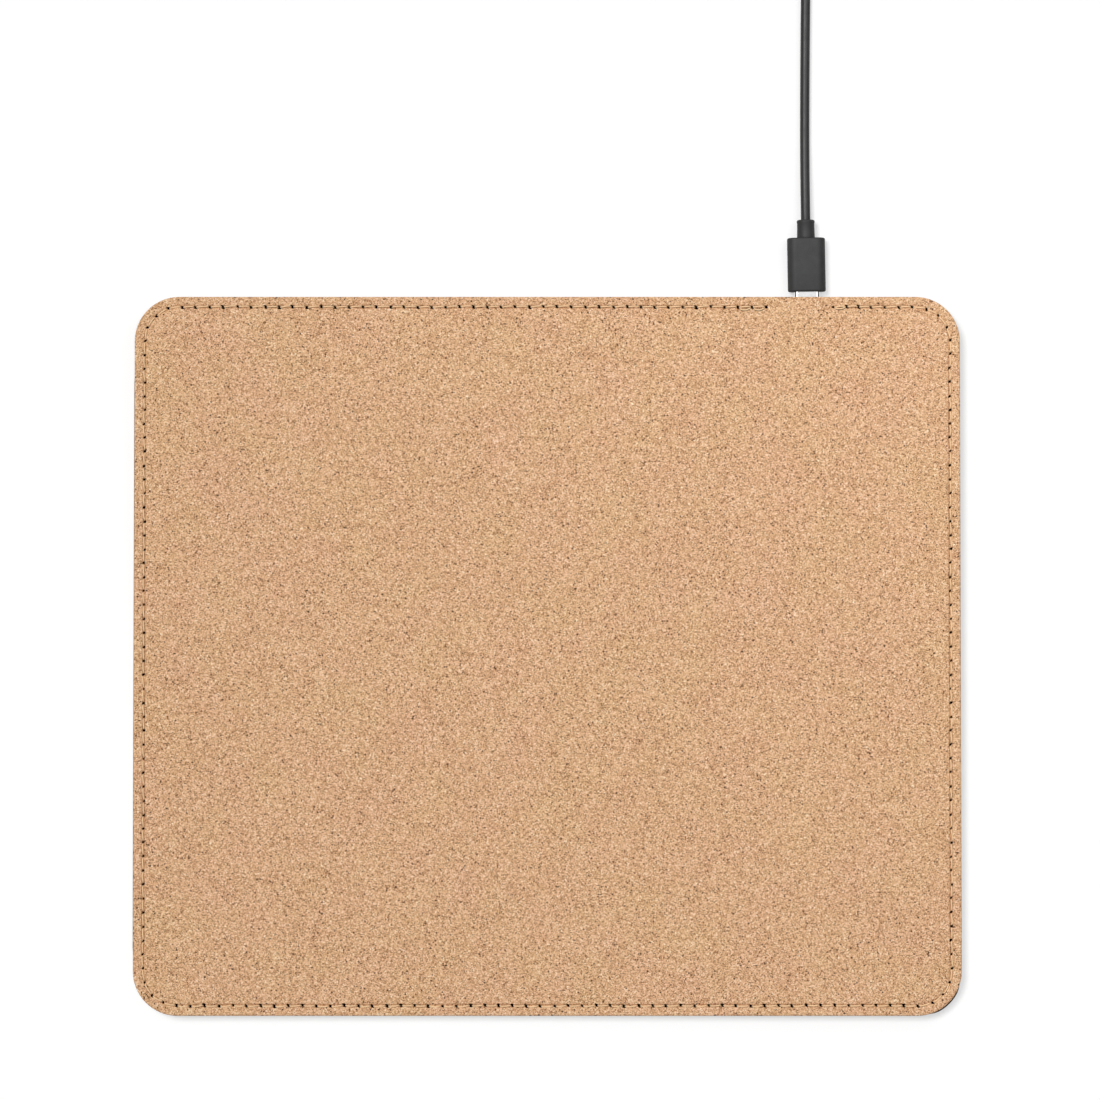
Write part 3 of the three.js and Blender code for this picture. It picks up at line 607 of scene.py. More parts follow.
def plied(tree, given, twists, strands):
    """The height of strands that lie twisted along the piece's own UV map."""
    along, around, _ = put(tree, "ShaderNodeSeparateXYZ", {0: given["UV"]}).outputs
    return use(tree, twisted_strands, Along=along, Around=around, Twists=twists,
               Strands=strands)["Height"]


def thread(name):
    made, tree, shader, given = new_material(name)
    ply = plied(tree, given, 2600.0, 3.0)
    fuzz = use(tree, fine_grain, Place=given["Object"], Size=0.12, Sharpness=0.7)
    colour = ramp(tree, ply, (0.0, paint(214, 162, 112)), (0.5, paint(252, 208, 156)),
                  (1.0, paint(255, 226, 182)))
    colour = blend(tree, 0.25, colour, ramp(tree, fuzz["Tone"], (0.3, paint(214, 163, 113)),
                                            (0.7, paint(255, 224, 176))))
    dress(tree, shader, colour, 0.7, ply, 0.05, Sheen_Weight=0.2)
    return made


def woven_cloth(name, dark, light, yarn, turned_by=0.0):
    made, tree, shader, given = new_material(name)
    place = put(tree, "ShaderNodeMapping", {0: given["Object"], 2: (0, 0, turned_by)}).outputs[0]
    weave = use(tree, plain_weave, Place=place, Yarn=yarn)
    fuzz = use(tree, fine_grain, Place=given["Object"], Size=yarn / 2, Sharpness=0.7)
    shade = maths(tree, "ADD", maths(tree, "MULTIPLY", weave["Height"], 0.6),
                  maths(tree, "MULTIPLY", fuzz["Tone"], 0.4))
    colour = ramp(tree, shade, (0.15, dark), (0.8, light))
    dress(tree, shader, colour, 0.9, weave["Height"], yarn / 4, Sheen_Weight=0.3)
    return made


def pressed_board():
    made, tree, shader, given = new_material("pressed_board")
    flat = put(tree, "ShaderNodeMapping", {0: given["Object"], 3: (1, 1, 5)}).outputs[0]
    fibres = use(tree, fine_grain, Place=flat, Size=0.8, Sharpness=0.75)
    colour = ramp(tree, fibres["Tone"], (0.3, paint(160, 130, 96)), (0.5, paint(192, 164, 128)),
                  (0.72, paint(214, 190, 156)))
    dress(tree, shader, colour, 0.92, fibres["Height"], 0.15)
    return made


def grained_base():
    made, tree, shader, place, speckle, colour = speckled("grained_base", grey(54), grey(76), 0.3)
    pebble = use(tree, cork_granules, Place=place, Size=0.8)
    colour = blend(tree, maths(tree, "MULTIPLY", pebble["Gap"], 0.5), colour, grey(40))
    height = maths(tree, "SUBTRACT", speckle["Height"], pebble["Gap"])
    dress(tree, shader, colour, spread(tree, speckle["Tone"], 0.3, 0.7, 0.62, 0.8), height, 0.06)
    return made


def jacket():
    made, tree, shader, place, speckle, colour = speckled(
        "cord_jacket", grey(29), grey(40), 0.18, 0.5)
    worn = handled(tree, place, 0.47, 0.2)
    dress(tree, shader, colour, worn, speckle["Height"], 0.01, Specular_IOR_Level=0.46)
    return made


def strand_wire():
    made, tree, shader, given = new_material("strand_wire")
    ply = plied(tree, given, 420.0, 7.0)
    colour = ramp(tree, ply, (0.0, paint(96, 50, 26)), (1.0, paint(206, 130, 82)))
    dress(tree, shader, colour, 0.38, ply, 0.05, Metallic=0.9)
    return made


def solder_mask():
    made, tree, shader, place, _, mask = speckled(
        "solder_mask", paint(18, 84, 46), paint(30, 108, 62), 0.3, 0.5)
    tracks = put(tree, "ShaderNodeTexBrick", {
        "Vector": place, "Scale": 1 / (1.3 * MM), "Mortar Size": 0.06, "Mortar Smooth": 0.1,
        "Brick Width": 1.6, "Row Height": 0.8,
    }, offset=0.35).outputs["Fac"]
    colour = blend(tree, maths(tree, "MULTIPLY", tracks, 0.6), mask, paint(60, 140, 80))
    dress(tree, shader, colour, 0.35, tracks, 0.03)
    return made


def fired_ceramic(name, dark, light, grain=0.15):
    made, tree, shader, _, speckle, colour = speckled(name, dark, light, grain)
    roughness = spread(tree, speckle["Tone"], 0.3, 0.7, 0.35, 0.5)
    dress(tree, shader, colour, roughness, speckle["Height"], 0.02)
    return made


def closed_foam():
    made, tree, shader, given = new_material("closed_foam")
    cells = use(tree, cork_granules, Place=given["Object"], Size=0.35)
    colour = ramp(tree, cells["Tone"], (0.0, grey(62)), (1.0, grey(88)))
    colour = blend(tree, cells["Gap"], colour, grey(46))
    dress(tree, shader, colour, 0.95, cells["Gap"], -0.08)
    return made


# Camera and light

def make_camera():
    camera = bpy.data.cameras.new("camera")
    camera.sensor_width = SENSOR
    camera.lens = SENSOR * VIEW_DISTANCE / VIEW_WIDTH
    camera.clip_start = 0.05
    camera.clip_end = 20
    tilt = math.radians(VIEW_TILT)
    seen = bpy.data.objects.new("camera", camera)
    seen.location = (VIEW_X * MM, (VIEW_Y - VIEW_DISTANCE * math.sin(tilt)) * MM,
                     (VIEW_HEIGHT + VIEW_DISTANCE * math.cos(tilt)) * MM)
    seen.rotation_euler = (tilt, 0, 0)
    bpy.context.collection.objects.link(seen)
    bpy.context.scene.camera = seen


def shown_share(tree):
    """1 for rays that look at the background, straight or by way of metal and glass."""
    rays = put(tree, "ShaderNodeLightPath").outputs
    straight = maths(tree, "MAXIMUM", rays["Is Camera Ray"], rays["Is Glossy Ray"])
    return maths(tree, "MAXIMUM", straight, rays["Is Transmission Ray"])


def make_light():
    sun = bpy.data.lights.new("sun", "SUN")
    sun.energy = SUN_STRENGTH
    sun.angle = math.radians(SUN_WIDTH)
    height, bearing = math.radians(SUN_HEIGHT), math.radians(SUN_BEARING)
    shines = Vector((math.cos(height) * math.sin(bearing), -math.cos(height) * math.cos(bearing),
                     -math.sin(height)))
    placed = bpy.data.objects.new("sun", sun)
    placed.rotation_euler = shines.to_track_quat("-Z", "Y").to_euler()
    bpy.context.collection.objects.link(placed)

    fill = bpy.data.lights.new("fill", "AREA")
    fill.energy = FILL_POWER
    fill.size = FILL_SIDE * MM
    placed = bpy.data.objects.new("fill", fill)
    placed.location = Vector(FILL_PLACE) * MM
    placed.rotation_euler = placed.location.to_track_quat("Z", "Y").to_euler()
    bpy.context.collection.objects.link(placed)

    world = bpy.data.worlds.new("sky")
    bpy.context.scene.world = world
    world.use_nodes = True
    tree = world.node_tree
    tree.nodes.clear()
    direction = put(tree, "ShaderNodeTexCoord").outputs["Generated"]
    upward = put(tree, "ShaderNodeSeparateXYZ", {0: direction}).outputs[2]
    dome = spread(tree, upward, 0.55, 0.95, SKY_HORIZON, SKY_OVERHEAD)
    shown = spread(tree, shown_share(tree), 0.0, 1.0, 1.0, 1 / SKY_OVERHEAD)
    strength = maths(tree, "MULTIPLY", dome, shown)
    sky = put(tree, "ShaderNodeBackground", {"Color": (1, 1, 1, 1), "Strength": strength})
    tree.links.new(sky.outputs[0], put(tree, "ShaderNodeOutputWorld").inputs[0])


def make_floor():
    """A matt floor that glows just enough to show white, and less where the fill lamp lights it."""
    floor = primitive("floor", bpy.ops.mesh.primitive_plane_add, size=FLOOR_SIDE * MM,
                      location=(0, 0, -FLOOR_DROP * MM))
    material = bpy.data.materials.new("floor")
    material.use_nodes = True
    tree = material.node_tree
    tree.nodes.clear()
    matt = put(tree, "ShaderNodeBsdfDiffuse", {"Color": (FLOOR_TONE, FLOOR_TONE, FLOOR_TONE, 1)})
    foot = (FILL_PLACE[0] * MM, FILL_PLACE[1] * MM, 0)
    place = put(tree, "ShaderNodeTexCoord").outputs["Object"]
    away = put(tree, "ShaderNodeVectorMath", {0: place, 1: foot}, operation="DISTANCE").outputs
    strength = spread(tree, away["Value"], 0.0, GLOW_REACH * MM, GLOW_UNDER_FILL, GLOW_AWAY)
    strength = maths(tree, "MULTIPLY", shown_share(tree), strength)
    glow = put(tree, "ShaderNodeEmission", {"Strength": strength})
    both = put(tree, "ShaderNodeAddShader", {0: matt.outputs[0], 1: glow.outputs[0]})
    tree.links.new(both.outputs[0], put(tree, "ShaderNodeOutputMaterial").inputs[0])
    floor.data.materials.append(material)


# Lead

def eased(points, step):
    """Points on a smooth curve through the given ones, about a step apart."""
    found = []
    for index in range(len(points) - 1):
        before, here = points[max(index - 1, 0)], points[index]
        there, after = points[index + 1], points[min(index + 2, len(points) - 1)]
        count = max(1, round((Vector(there) - Vector(here)).length / step))
        for part in range(count):
            t = part / count
            found.append([
                0.5 * (2 * h + (n - b) * t + (2 * b - 5 * h + 4 * n - a) * t * t
                       + (3 * h - b - 3 * n + a) * t ** 3)
                for b, h, n, a in zip(before, here, there, after)
            ])
    return found + [list(points[-1])]


def ease_step(share):
    share = min(max(share, 0), 1)
    return share * share * (3 - 2 * share)


def winding_line():
    """In on the lower layer, up in the half turn that reverses, out on the upper one."""
    line = []
    middle = WINDING_TURNS / 2
    steps_a_turn = 72
    for step in range(round(steps_a_turn * WINDING_TURNS) + 1):
        turns = step / steps_a_turn
        radius = WINDING_RADIUS - WINDING_PITCH * (middle - abs(turns - middle))
        angle = 2 * math.pi * turns
        height = WINDING_PITCH * ease_step((turns - middle) / 0.5 + 0.5)
        line.append([WINDING_X + radius * math.cos(angle), WINDING_Y + radius * math.sin(angle),
                     WINDING_LOW + height])
    return line


def make_cord(surface):
    tail_y = WINDING_Y + WINDING_RADIUS
    free = eased(FREE_ROUTE, 2)
    tail = eased([[WINDING_X + x, tail_y, z] for x, z in TAIL_ROUTE], 1.5)
    line = free + winding_line() + tail
    cord = smooth(tube("lead_cord", line, CORD, 6), 60)
    finished(cord, surface, "lead", "cord_jacket", "cable", "cable_coil", "cable_end")
    path = [[c * MM for c in place] for place in line]
    return cord, path


# Pad

def pad_sheet(name, low, high):
    return rounded_block(name, low, high, 2, PAD_CORNER, PAD_CORNER_STEPS)


def seam_valley(done):
    """Insets that go on from the rim, down into the valley that the seam presses, and up again."""
    sides = [(-0.9, 0), (-0.56, 0.22), (-0.36, 0.76), (-0.16, 1),
             (0.16, 1), (0.36, 0.76), (0.56, 0.22), (0.9, 0)]
    steps = []
    sunk = 0
    for beside, share in sides:
        steps.append((SEAM_INSET + beside - done, (sunk - share) * VALLEY_DEPTH))
        done, sunk = SEAM_INSET + beside, share
    return steps + [(0.6, 0)]


def fill_valley(sheet, seam_y, surface):
    """Levels the valley over the port, between the seam's two ends."""
    starts = PORT_X - SEAM_END_LEFT + VALLEY_END
    stops = PORT_X + SEAM_END_RIGHT - VALLEY_END
    for place in (starts, starts + VALLEY_SLOPE, stops - VALLEY_SLOPE, stops):
        pick(sheet, "FACE", lambda face: face.calc_center_median().y > 100 * MM)
        bpy.ops.mesh.bisect(plane_co=(place * MM, 0, 0), plane_no=(1, 0, 0))
    beside, below = 0.7, 0.6
    pick(sheet, "VERT", lambda point:
         starts + VALLEY_SLOPE / 2 < point.co.x / MM < stops - VALLEY_SLOPE / 2
         and abs(point.co.y / MM - seam_y) < beside and abs(point.co.z / MM - surface) < below)
    bpy.ops.transform.resize(value=(1, 1, 0), center_override=(0, 0, surface * MM))


def seam_place(gone):
    """The place on the seam so many millimetres from its right end, and its heading there."""
    low, high = node_box("cork_cover")
    radius = PAD_CORNER - SEAM_INSET
    side = high.y - low.y - 2 * PAD_CORNER
    front = high.x - low.x - 2 * PAD_CORNER
    first = high.x - PAD_CORNER - PORT_X - SEAM_END_RIGHT
    place = Vector((PORT_X + SEAM_END_RIGHT, high.y - SEAM_INSET, 0))
    along = Vector((1, 0, 0))
    heading = 0.0
    for straight in (first, side, front, side):
        if gone <= straight:
            break
        inner = place + along * straight + Vector((along.y, -along.x, 0)) * radius
        gone -= straight
        heading -= min(gone / radius, math.pi / 2)
        along = Vector((math.cos(heading), math.sin(heading), 0))
        place = inner + Vector((-along.y, along.x, 0)) * radius
        gone = max(gone - radius * math.pi / 2, 0)
        if gone == 0:
            break
    return place + along * gone, heading


def seam_length():
    low, high = node_box("cork_cover")
    width, depth = high.x - low.x, high.y - low.y
    straights = 2 * (width + depth) - 8 * PAD_CORNER - SEAM_END_LEFT - SEAM_END_RIGHT
    return straights + 2 * math.pi * (PAD_CORNER - SEAM_INSET)


def needle_holes(seed):
    """Where the needle went through, as (place, heading), a little uneven as real stitches are."""
    chance = random.Random(seed)
    length = seam_length()
    count = round(length / STITCH)
    holes = []
    for number in range(count + 1):
        shift = chance.uniform(-HOLE_DRIFT, HOLE_DRIFT) if 0 < number < count else 0
        shift -= SLOW_START * min(max(number - 1, 0) / 2, 1) * (1 - number / count)
        place, heading = seam_place(number * length / count + shift)
        outward = Vector((-math.sin(heading), math.cos(heading), 0))
        holes.append((place + outward * chance.uniform(-HOLE_STRAY, HOLE_STRAY), heading))
    return holes


def hole_cutters(holes, surface, upward, seed):
    """One tapered, slanting hole, modelled once and copied to every place."""
    chance = random.Random(seed)
    one = primitive("needle_cutter", bpy.ops.mesh.primitive_cone_add, vertices=10,
                    radius1=HOLE_LENGTH * 0.3 * MM, radius2=HOLE_LENGTH / 2 * MM,
                    depth=HOLE_DEPTH * MM, scale=(1, HOLE_WIDTH / HOLE_LENGTH, 1))
    with editing(one):
        pick(one, "FACE", lambda face: facing(face, 2, 1))
        bpy.ops.mesh.extrude_region_move(TRANSFORM_OT_translate={"value": (0, 0, 0.3 * MM)})
    cutters = []
    for place, heading in holes:
        copy = one.copy()
        copy.data = one.data.copy()
        bpy.context.collection.objects.link(copy)
        size = chance.uniform(0.86, 1.12) * (1 - 0.2 * abs(math.sin(heading)))
        slant = heading - math.radians(HOLE_SLANT) * upward + chance.uniform(-0.25, 0.25)
        copy.scale = (size, size * chance.uniform(0.88, 1.1), 1)
        copy.rotation_euler = (0 if upward > 0 else math.pi, 0, slant)
        copy.location = (place.x * MM, place.y * MM, (surface - upward * HOLE_DEPTH / 2) * MM)
        cutters.append(copy)
    bpy.data.objects.remove(one)
    made = join(cutters)
    made.name = "needle_cutters"
    bpy.ops.object.transform_apply(location=True, rotation=True, scale=True)
    return made


def punch(sheet, cutters, material):
    """Cuts the needle holes or tack grooves; their walls keep the cutters' dark material,
    near-black painted shade.
    """
    cutters.data.materials.append(material)
    carve(sheet, cutters, material_mode="TRANSFER")


def stitch_line(start, end, hole_height, crown_height, bow, slant, chance):
    """The thread from one hole to the next: up, over and down, slightly slanting and bowed."""
    run = end - start
    outward = Vector((-run.y, run.x, 0)).normalized()
    lean = bow + chance.uniform(-0.05, 0.05)
    points = []
    for share in STITCH_SHARES:
        climb = ease_step((min(share, 1 - share) - CLIMB_START) / CLIMB_LENGTH)
        side = slant * (2 * share - 1) * climb + lean * math.sin(math.pi * share)
        height = hole_height + (crown_height - hole_height) * climb
        place = start + run * share + outward * side
        points.append([place.x, place.y, height])
    return points


def thread_line(holes, hole_height, crown_height, bow, slant, tacks, seed):
    """One thread through all the holes, with stitches sewn back over the seam at both ends."""
    chance = random.Random(seed)
    seam = [place for place, _ in holes]
    deeper = math.copysign(0.35, hole_height - crown_height)
    line = stitch_line(seam[1], seam[0], hole_height, crown_height, tacks[0], slant, chance)
    for start, end in zip(seam, seam[1:]):
        line += stitch_line(start, end, hole_height, crown_height, bow, slant, chance)
    for start, end in ((seam[-1], seam[-2]), (seam[-2], seam[-3])):
        line += stitch_line(start, end, hole_height, crown_height, tacks[1], slant, chance)
    line.append([seam[-3].x, seam[-3].y, hole_height])
    stitch = len(STITCH_SHARES)
    for back in (stitch, stitch * len(seam)):
        line[back][2] += deeper
    return line


def make_thread(name, line, node):
    sewn = smooth(tube(name, line, THREAD, 1), 70)
    finished(sewn, thread(node), "pad", "thread", node)


def tack_grooves(line):
    """Cutters for the grooves that the stitches sewn back press beside the seam; their walls get
    painted shade, a dark outline.
    """
    stitch = len(STITCH_SHARES)
    starts = (0, len(line) - 1 - 2 * stitch, len(line) - 1 - stitch)
    return join([tube("tack_groove", line[start + 3:start + stitch - 2], TACK_GROOVE, 1)
                 for start in starts])


def make_cork(surface, shaded_valley_cork, dark):
    """The cork top with its sewn valley and needle holes, and the line of the needle thread."""
    low, high = node_box("cork_cover")
    sheet = pad_sheet("cork_top", low, (high.x, high.y, high.z - CORK_RIM))
    sheet.data.materials.append(surface)
    sheet.data.materials.append(shaded_valley_cork)
    with editing(sheet):
        pick(sheet, "FACE", lambda face: facing(face, 2, 1))
        inset(quarter_round(CORK_RIM, 4) + seam_valley(CORK_RIM))
        fill_valley(sheet, high.y - SEAM_INSET, high.z)
        # Deep valley faces get the second material: darker for compressed cork and for painted
        # shade of the crease beside the thread
        pick(sheet, "FACE", lambda face: face.normal.z > 0.3
             and face.calc_center_median().z < (high.z - SHADED_VALLEY_DEPTH) * MM)
        sheet.active_material_index = 1
        bpy.ops.object.material_slot_assign()
    holes = needle_holes(7)
    crown = high.z + THREAD_CROWN - THREAD / 2
    line = thread_line(holes, high.z - THREAD_SINK, crown, bow=0.2, slant=0.14,
                       tacks=NEEDLE_TACKS, seed=11)
    # The hole and groove walls get the near-black painted shade
    punch(sheet, hole_cutters(holes, high.z, upward=1, seed=8), dark)
    punch(sheet, tack_grooves(line), dark)
    smooth(sheet, 40)
    finished(sheet, None, "pad", "cork", "cork_cover")
    return holes, line


def make_base(surface, dark, holes):
    """The base with its sewn valley and needle holes, and the line of the bobbin thread."""
    low, high = node_box("base_cover")
    sheet = pad_sheet("base_underside", (low.x, low.y, BASE_RIM), high)
    with editing(sheet):
        pick(sheet, "FACE", lambda face: facing(face, 2, -1))
        inset(quarter_round(BASE_RIM, 3) + seam_valley(BASE_RIM))
        fill_valley(sheet, high.y - SEAM_INSET, 0)
        peek_out(sheet, low, high)
    sheet.data.materials.append(surface)
    line = thread_line(holes, BOBBIN_SINK, BOBBIN_CROWN, bow=0.05, slant=0.1,
                       tacks=BOBBIN_TACKS, seed=12)
    # The hole and groove walls get the near-black painted shade
    punch(sheet, hole_cutters(holes, 0, upward=-1, seed=9), dark)
    punch(sheet, tack_grooves(line), dark)
    smooth(sheet, 40)
    finished(sheet, None, "pad", "base_sheet", "base_cover")
    return line


def peek_out(sheet, low, high):
    """Moves the rim outwards on the left and at the lower right, where it shows past the cork."""
    outer = 0.4 * MM
    left, right, front = low.x * MM, high.x * MM, low.y * MM
    for place in LEFT_PEEK_CUTS:
        pick(sheet, "FACE", lambda face: face.calc_center_median().x < left + outer)
        bpy.ops.mesh.bisect(plane_co=(0, place * MM, 0), plane_no=(0, 1, 0))
    first, last = (place * MM for place in LEFT_PEEK_SPAN)
    pick(sheet, "VERT", lambda point: point.co.x < left + outer and first < point.co.y < last)
    bpy.ops.transform.translate(value=(-LEFT_PEEK * MM, 0, 0))
    middle = Vector((right - PAD_CORNER * MM, front + PAD_CORNER * MM))
    steps = (42, 37, 32, 27, 22, 17)
    for half in steps:
        pick(sheet, "VERT", lambda point: (point.co.xy - middle).length > PAD_CORNER * MM - outer
             and abs((point.co.xy - middle).angle_signed(Vector((1, -1)), 0)) < math.radians(half))
        step = CORNER_PEEK / len(steps) * MM
        bpy.ops.transform.translate(value=(step, -step, 0))


# Charger module

def make_charging_coil(surface):
    """Off the board, inwards round the flat winding, and back to the board below its own turns."""
    _, high = node_box("charging_coil")
    inner, outer, pitch, turns, wire = 10.75, 24.525, 1.45, 9.5, 1.0
    centre_y, top, drop = 49.975, high.z - wire / 2, 1.5
    lead_end, rise_end, drop_length, rise_length = 36.025, 32.925, 11, 6
    line = [[outer, y, top] for y in (lead_end, 24, 12, 1)]
    steps = 64
    for step in range(round(steps * turns) + 1):
        angle = -2 * math.pi * step / steps
        radius = outer - pitch * step / steps
        to_go = (turns - step / steps) * 2 * math.pi * inner
        dropped = drop * ease_step((drop_length / 2 - to_go) / drop_length)
        line.append([radius * math.cos(angle), radius * math.sin(angle), top - dropped])
    for gone in (1.4, 2.8, 4.2, 5.6):
        dropped = drop * ease_step((drop_length / 2 + gone) / drop_length)
        line.append([-inner, gone, top - dropped])
    for step in range(13):
        to_rise = 1 - step / 12
        line.append([-inner, rise_end - rise_length * to_rise, top - drop * ease_step(to_rise)])
    line.append([-inner, lead_end, top])
    placed = [[x + PORT_X, y + centre_y, z] for x, y, z in line]
    coil = smooth(tube("charging_winding", placed, wire, 4), 60)
    finished(coil, surface, "pad", "copper_wire", "charging_coil")


def make_foam(surface):
    """The foam pad that presses the winding up, with a slot for the winding's inner end."""
    low, high = node_box("coil_foam_pad")
    foam = rounded_block("winding_foam", low, high, axis=2, corner=2, segments=6)
    middle_x, middle_y = (low.x + high.x) / 2, (low.y + high.y) / 2
    slot_left, slot_right, slot_front = middle_x - 11.65, middle_x - 8.15, middle_y - 6.9
    carve(foam, block("foam_slot", (slot_left, slot_front, low.z - 1),
                      (slot_right, high.y + 1, high.z + 1)))
    modify(foam, "BEVEL", width=0.35 * MM, segments=3, limit_method="ANGLE")
    smooth(foam, 50)
    finished(foam, surface, "pad", "foam", "coil_foam_pad")


def make_backing(surface):
    low, high = node_box("cover_backing")
    sheet = smooth(pad_sheet("backing_layer", low, high), 40)
    finished(sheet, surface, "pad", "backing_cloth", "cover_backing")


# Plugs

def moulded_body(name, low, high, axis, corner, segments, end_rounding):
    made = rounded_block(name, low, high, axis, corner, segments)
    with editing(made):
        pick(made, "EDGE", lambda edge: ends_of(edge, axis))
        bevel(end_rounding, 4)
    return made


def lean(made):
    """Turns a piece of the plug a little about the socket's mouth, within the fit's play."""
    rear = node_box("cork_cover")[1].y
    with editing(made):
        bpy.ops.mesh.select_all(action="SELECT")
        bpy.ops.transform.rotate(value=-math.radians(PLUG_LEAN), orient_axis="Z",
                                 center_override=(PORT_X * MM, rear * MM, 0))


def make_near_plug(plastic, metal):
    low, high = node_box("plug_shell")
    tip = open_sleeve("plug_tip", low, high, axis=1, corner=1.19, segments=10, wall=SLEEVE_WALL)
    finished(smooth(tip, 50), metal, "lead", "bright_steel", "plug_shell")

    low, high = node_box("plug_overmould")
    back = Vector((0, BODY_SHIFT, 0))
    body = moulded_body("plug_body", low + back, high + back, axis=1, corner=2.74, segments=14,
                        end_rounding=0.5)
    lean(body)
    finished(smooth(body, 50), plastic, "lead", "black_plastic", "plug_overmould")

    low, high = node_box("plug_strain_relief")
    root, end = low.y + BODY_SHIFT - 0.3, high.y + 0.1
    neck = turned("plug_neck", 1, (PORT_X, root, PLUG_AXIS), [
        (root, 2.6), (root + 0.35, 2.82), (root + 0.7, 2.82), (root + 2.0, 2.78), (end - 1.1, 2.72),
        (end - 0.8, 2.84), (end - 0.45, 2.84), (end - 0.2, 2.72), (end - 0.06, 2.5), (end, 2.2),
        (end - 0.02, 1.6),
    ])
    lean(neck)
    finished(smooth(neck, 45), plastic, "lead", "black_plastic", "plug_strain_relief")
    return [tip, body, neck]


def make_far_plug(plastic, metal):
    low, high = node_box("far_plug_shell")
    shell = open_sleeve("far_plug_tip", low, high, axis=0, corner=0.4, segments=5, wall=SLEEVE_WALL)
    middle_y = (low.y + high.y) / 2
    window_left, window_right, half_window = low.x + 5.2, low.x + 7.4, 1.1
    carve(shell, join([
        block("window", (window_left, middle_y + side - half_window, low.z - 1),
              (window_right, middle_y + side + half_window, high.z + 1))
        for side in (-2.8, 2.8)
    ]))
    finished(smooth(shell, 40), metal, "lead", "bright_steel", "far_plug_shell")

    low, high = node_box("far_plug_overmould")
    body = moulded_body("far_plug_body", low, high, axis=0, corner=2, segments=8, end_rounding=0.6)
    carve(body, join([
        block("grip_groove", (place - GRIP_DEPTH, near, low.z - 1),
              (place + GRIP_DEPTH, far, high.z + 1))
        for near, far in ((low.y - 1, low.y + GRIP_DEPTH), (high.y - GRIP_DEPTH, high.y + 1))
        for place in (8, 10, 12)
    ]))
    finished(smooth(body, 40), plastic, "lead", "black_plastic", "far_plug_overmould")

    low, high = node_box("far_plug_strain_relief")
    axis_y, axis_z = (low.y + high.y) / 2, (low.z + high.z) / 2
    profile = [(low.x - 0.3, 3.3), (low.x + 0.6, 3.2)]
    for rib in range(5):
        place = low.x + 1.0 + rib * 1.5
        wide = 3.15 - 0.14 * rib
        profile += [(place, wide - 0.4), (place + 0.45, wide - 0.42), (place + 0.6, wide),
                    (place + 1.2, wide - 0.06)]
    profile += [(high.x - 0.35, 2.5), (high.x - 0.1, 2.38), (high.x, 2.1), (high.x + 0.01, 1.6)]
    neck = turned("far_plug_neck", 0, (low.x, axis_y, axis_z), profile, 32)
    finished(smooth(neck, 40), plastic, "lead", "black_plastic", "far_plug_strain_relief")
    return [shell, body, neck]


def make_tie(surface):
    """A woven strap round the bundle of turns, its end lapped over itself."""
    inner, outer, wide, thick = 9.917, 23.927, 6.0, 0.4
    middle_z, high = 3.975, 7.11
    top = middle_z + high / 2 + thick
    loop = open_sleeve("strap_loop", (inner - thick, -wide / 2, middle_z - high / 2 - thick),
                       (outer + thick, wide / 2, top), axis=1, corner=2, segments=5, wall=thick)
    lap = block("strap_lap", (inner + 2.2, -wide / 2 + 0.2, top - 0.02),
                (outer - 4.5, wide / 2 - 0.2, top + 0.38))
    with editing(lap):
        pick(lap, "EDGE", lambda edge: runs_along(edge, 2) and edge.verts[0].co.x > 15 * MM)
        bevel(1.6, 5)
    strap = join([loop, lap])
    strap.name = strap.data.name = "strap"
    modify(strap, "BEVEL", width=0.08 * MM, segments=2, limit_method="ANGLE",
           angle_limit=math.radians(60))
    with editing(strap):
        bpy.ops.mesh.select_all(action="SELECT")
        bpy.ops.transform.rotate(value=-math.radians(225), orient_axis="Z",
                                 center_override=(0, 0, 0))
        bpy.ops.transform.translate(value=(WINDING_X * MM, WINDING_Y * MM, 0))
    finished(smooth(strap, 40), surface, "lead", "tie_strap", "cable_tie")
    return strap


# CAD nodes that keep their shape

def repaint(material, *names):
    for name in names:
        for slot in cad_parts[name].material_slots:
            slot.material = material


def numbered(name, count):
    return [f"{name}_{number + 1}" for number in range(count)]


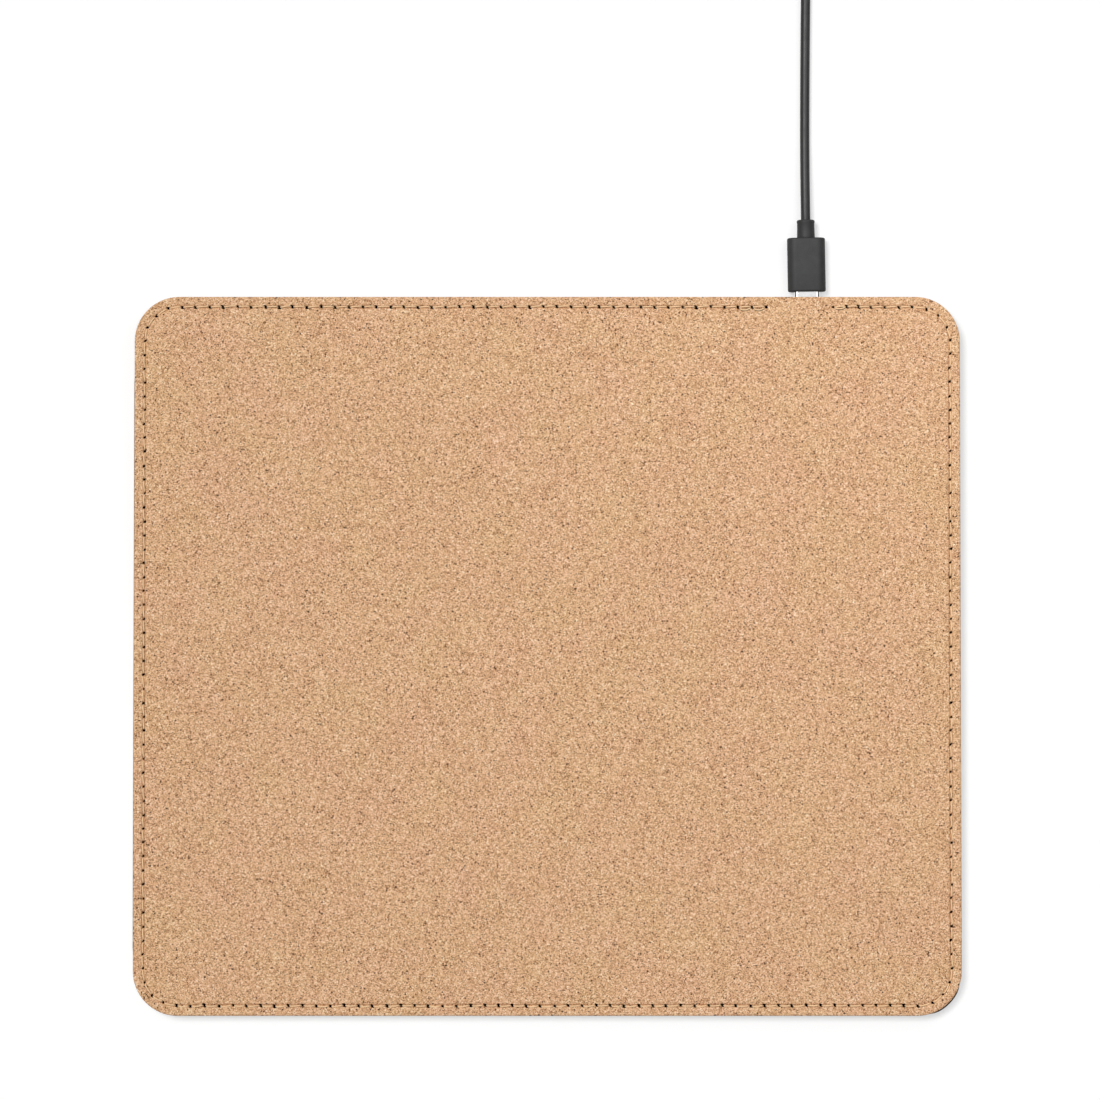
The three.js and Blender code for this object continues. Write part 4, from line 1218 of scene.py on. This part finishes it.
make_camera()
make_light()
make_floor()

black = moulded_plastic("black_plastic", grey(41), grey(53), 0.6, gloss=0.34)
steel = bright_metal("bright_steel", grey(218), grey(240), 0.12)
gilt = bright_metal("gilded_contact", paint(206, 164, 84), paint(236, 200, 124), 0.25)
# Near-black painted shade for the needle holes and the tack grooves
hole_shade = needle_hole_shade()

cord, cord_path = make_cord(jacket())
near_plug = make_near_plug(black, steel)
far_plug = make_far_plug(black, steel)
strap = make_tie(woven_cloth("tie_strap", grey(24), grey(52), 0.45, math.radians(45)))

top_cork = cork("cork", (1, 1, 1, 1))
# Cork of the seam valley: darker for compressed cork and for painted shade of the crease
compressed_and_shaded_cork = cork("compressed_and_shaded_cork", (0.9, 0.84, 0.77, 1))
seam_holes, needle_line = make_cork(top_cork, compressed_and_shaded_cork, hole_shade)
make_thread("needle_seam", needle_line, "needle_thread")
make_thread("bobbin_seam", make_base(grained_base(), hole_shade, seam_holes), "bobbin_thread")
make_backing(woven_cloth("backing_cloth", paint(176, 158, 130), paint(222, 206, 178), 0.4))

make_charging_coil(strand_wire())
make_foam(closed_foam())

repaint(pressed_board(), "core_board")
repaint(moulded_plastic("module_plastic", grey(208), grey(228), 0.5), "module_tray", "module_lid")
repaint(fired_ceramic("ferrite", grey(48), grey(66), 0.4), "ferrite_shield", "power_inductor")
repaint(solder_mask(), "circuit_board")
repaint(moulded_plastic("chip_body", grey(24), grey(38), 0.55, 0.1),
        "controller_chip", "coil_driver_chip")
repaint(fired_ceramic("capacitor_body", paint(140, 112, 78), paint(184, 154, 114)),
        *numbered("resonant_capacitor", 4), *numbered("input_capacitor", 2))
repaint(fired_ceramic("resistor_body", grey(26), grey(40)), "sense_resistor")
repaint(steel, "socket_shell")
repaint(black, "socket_tongue", "plug_insert", "far_plug_insert")
repaint(gilt, *numbered("socket_contact_upper", 3), *numbered("socket_contact_lower", 3),
        *numbered("far_plug_contact", 4))

bpy.context.scene.view_settings.view_transform = "Standard"
bpy.context.view_layer.update()
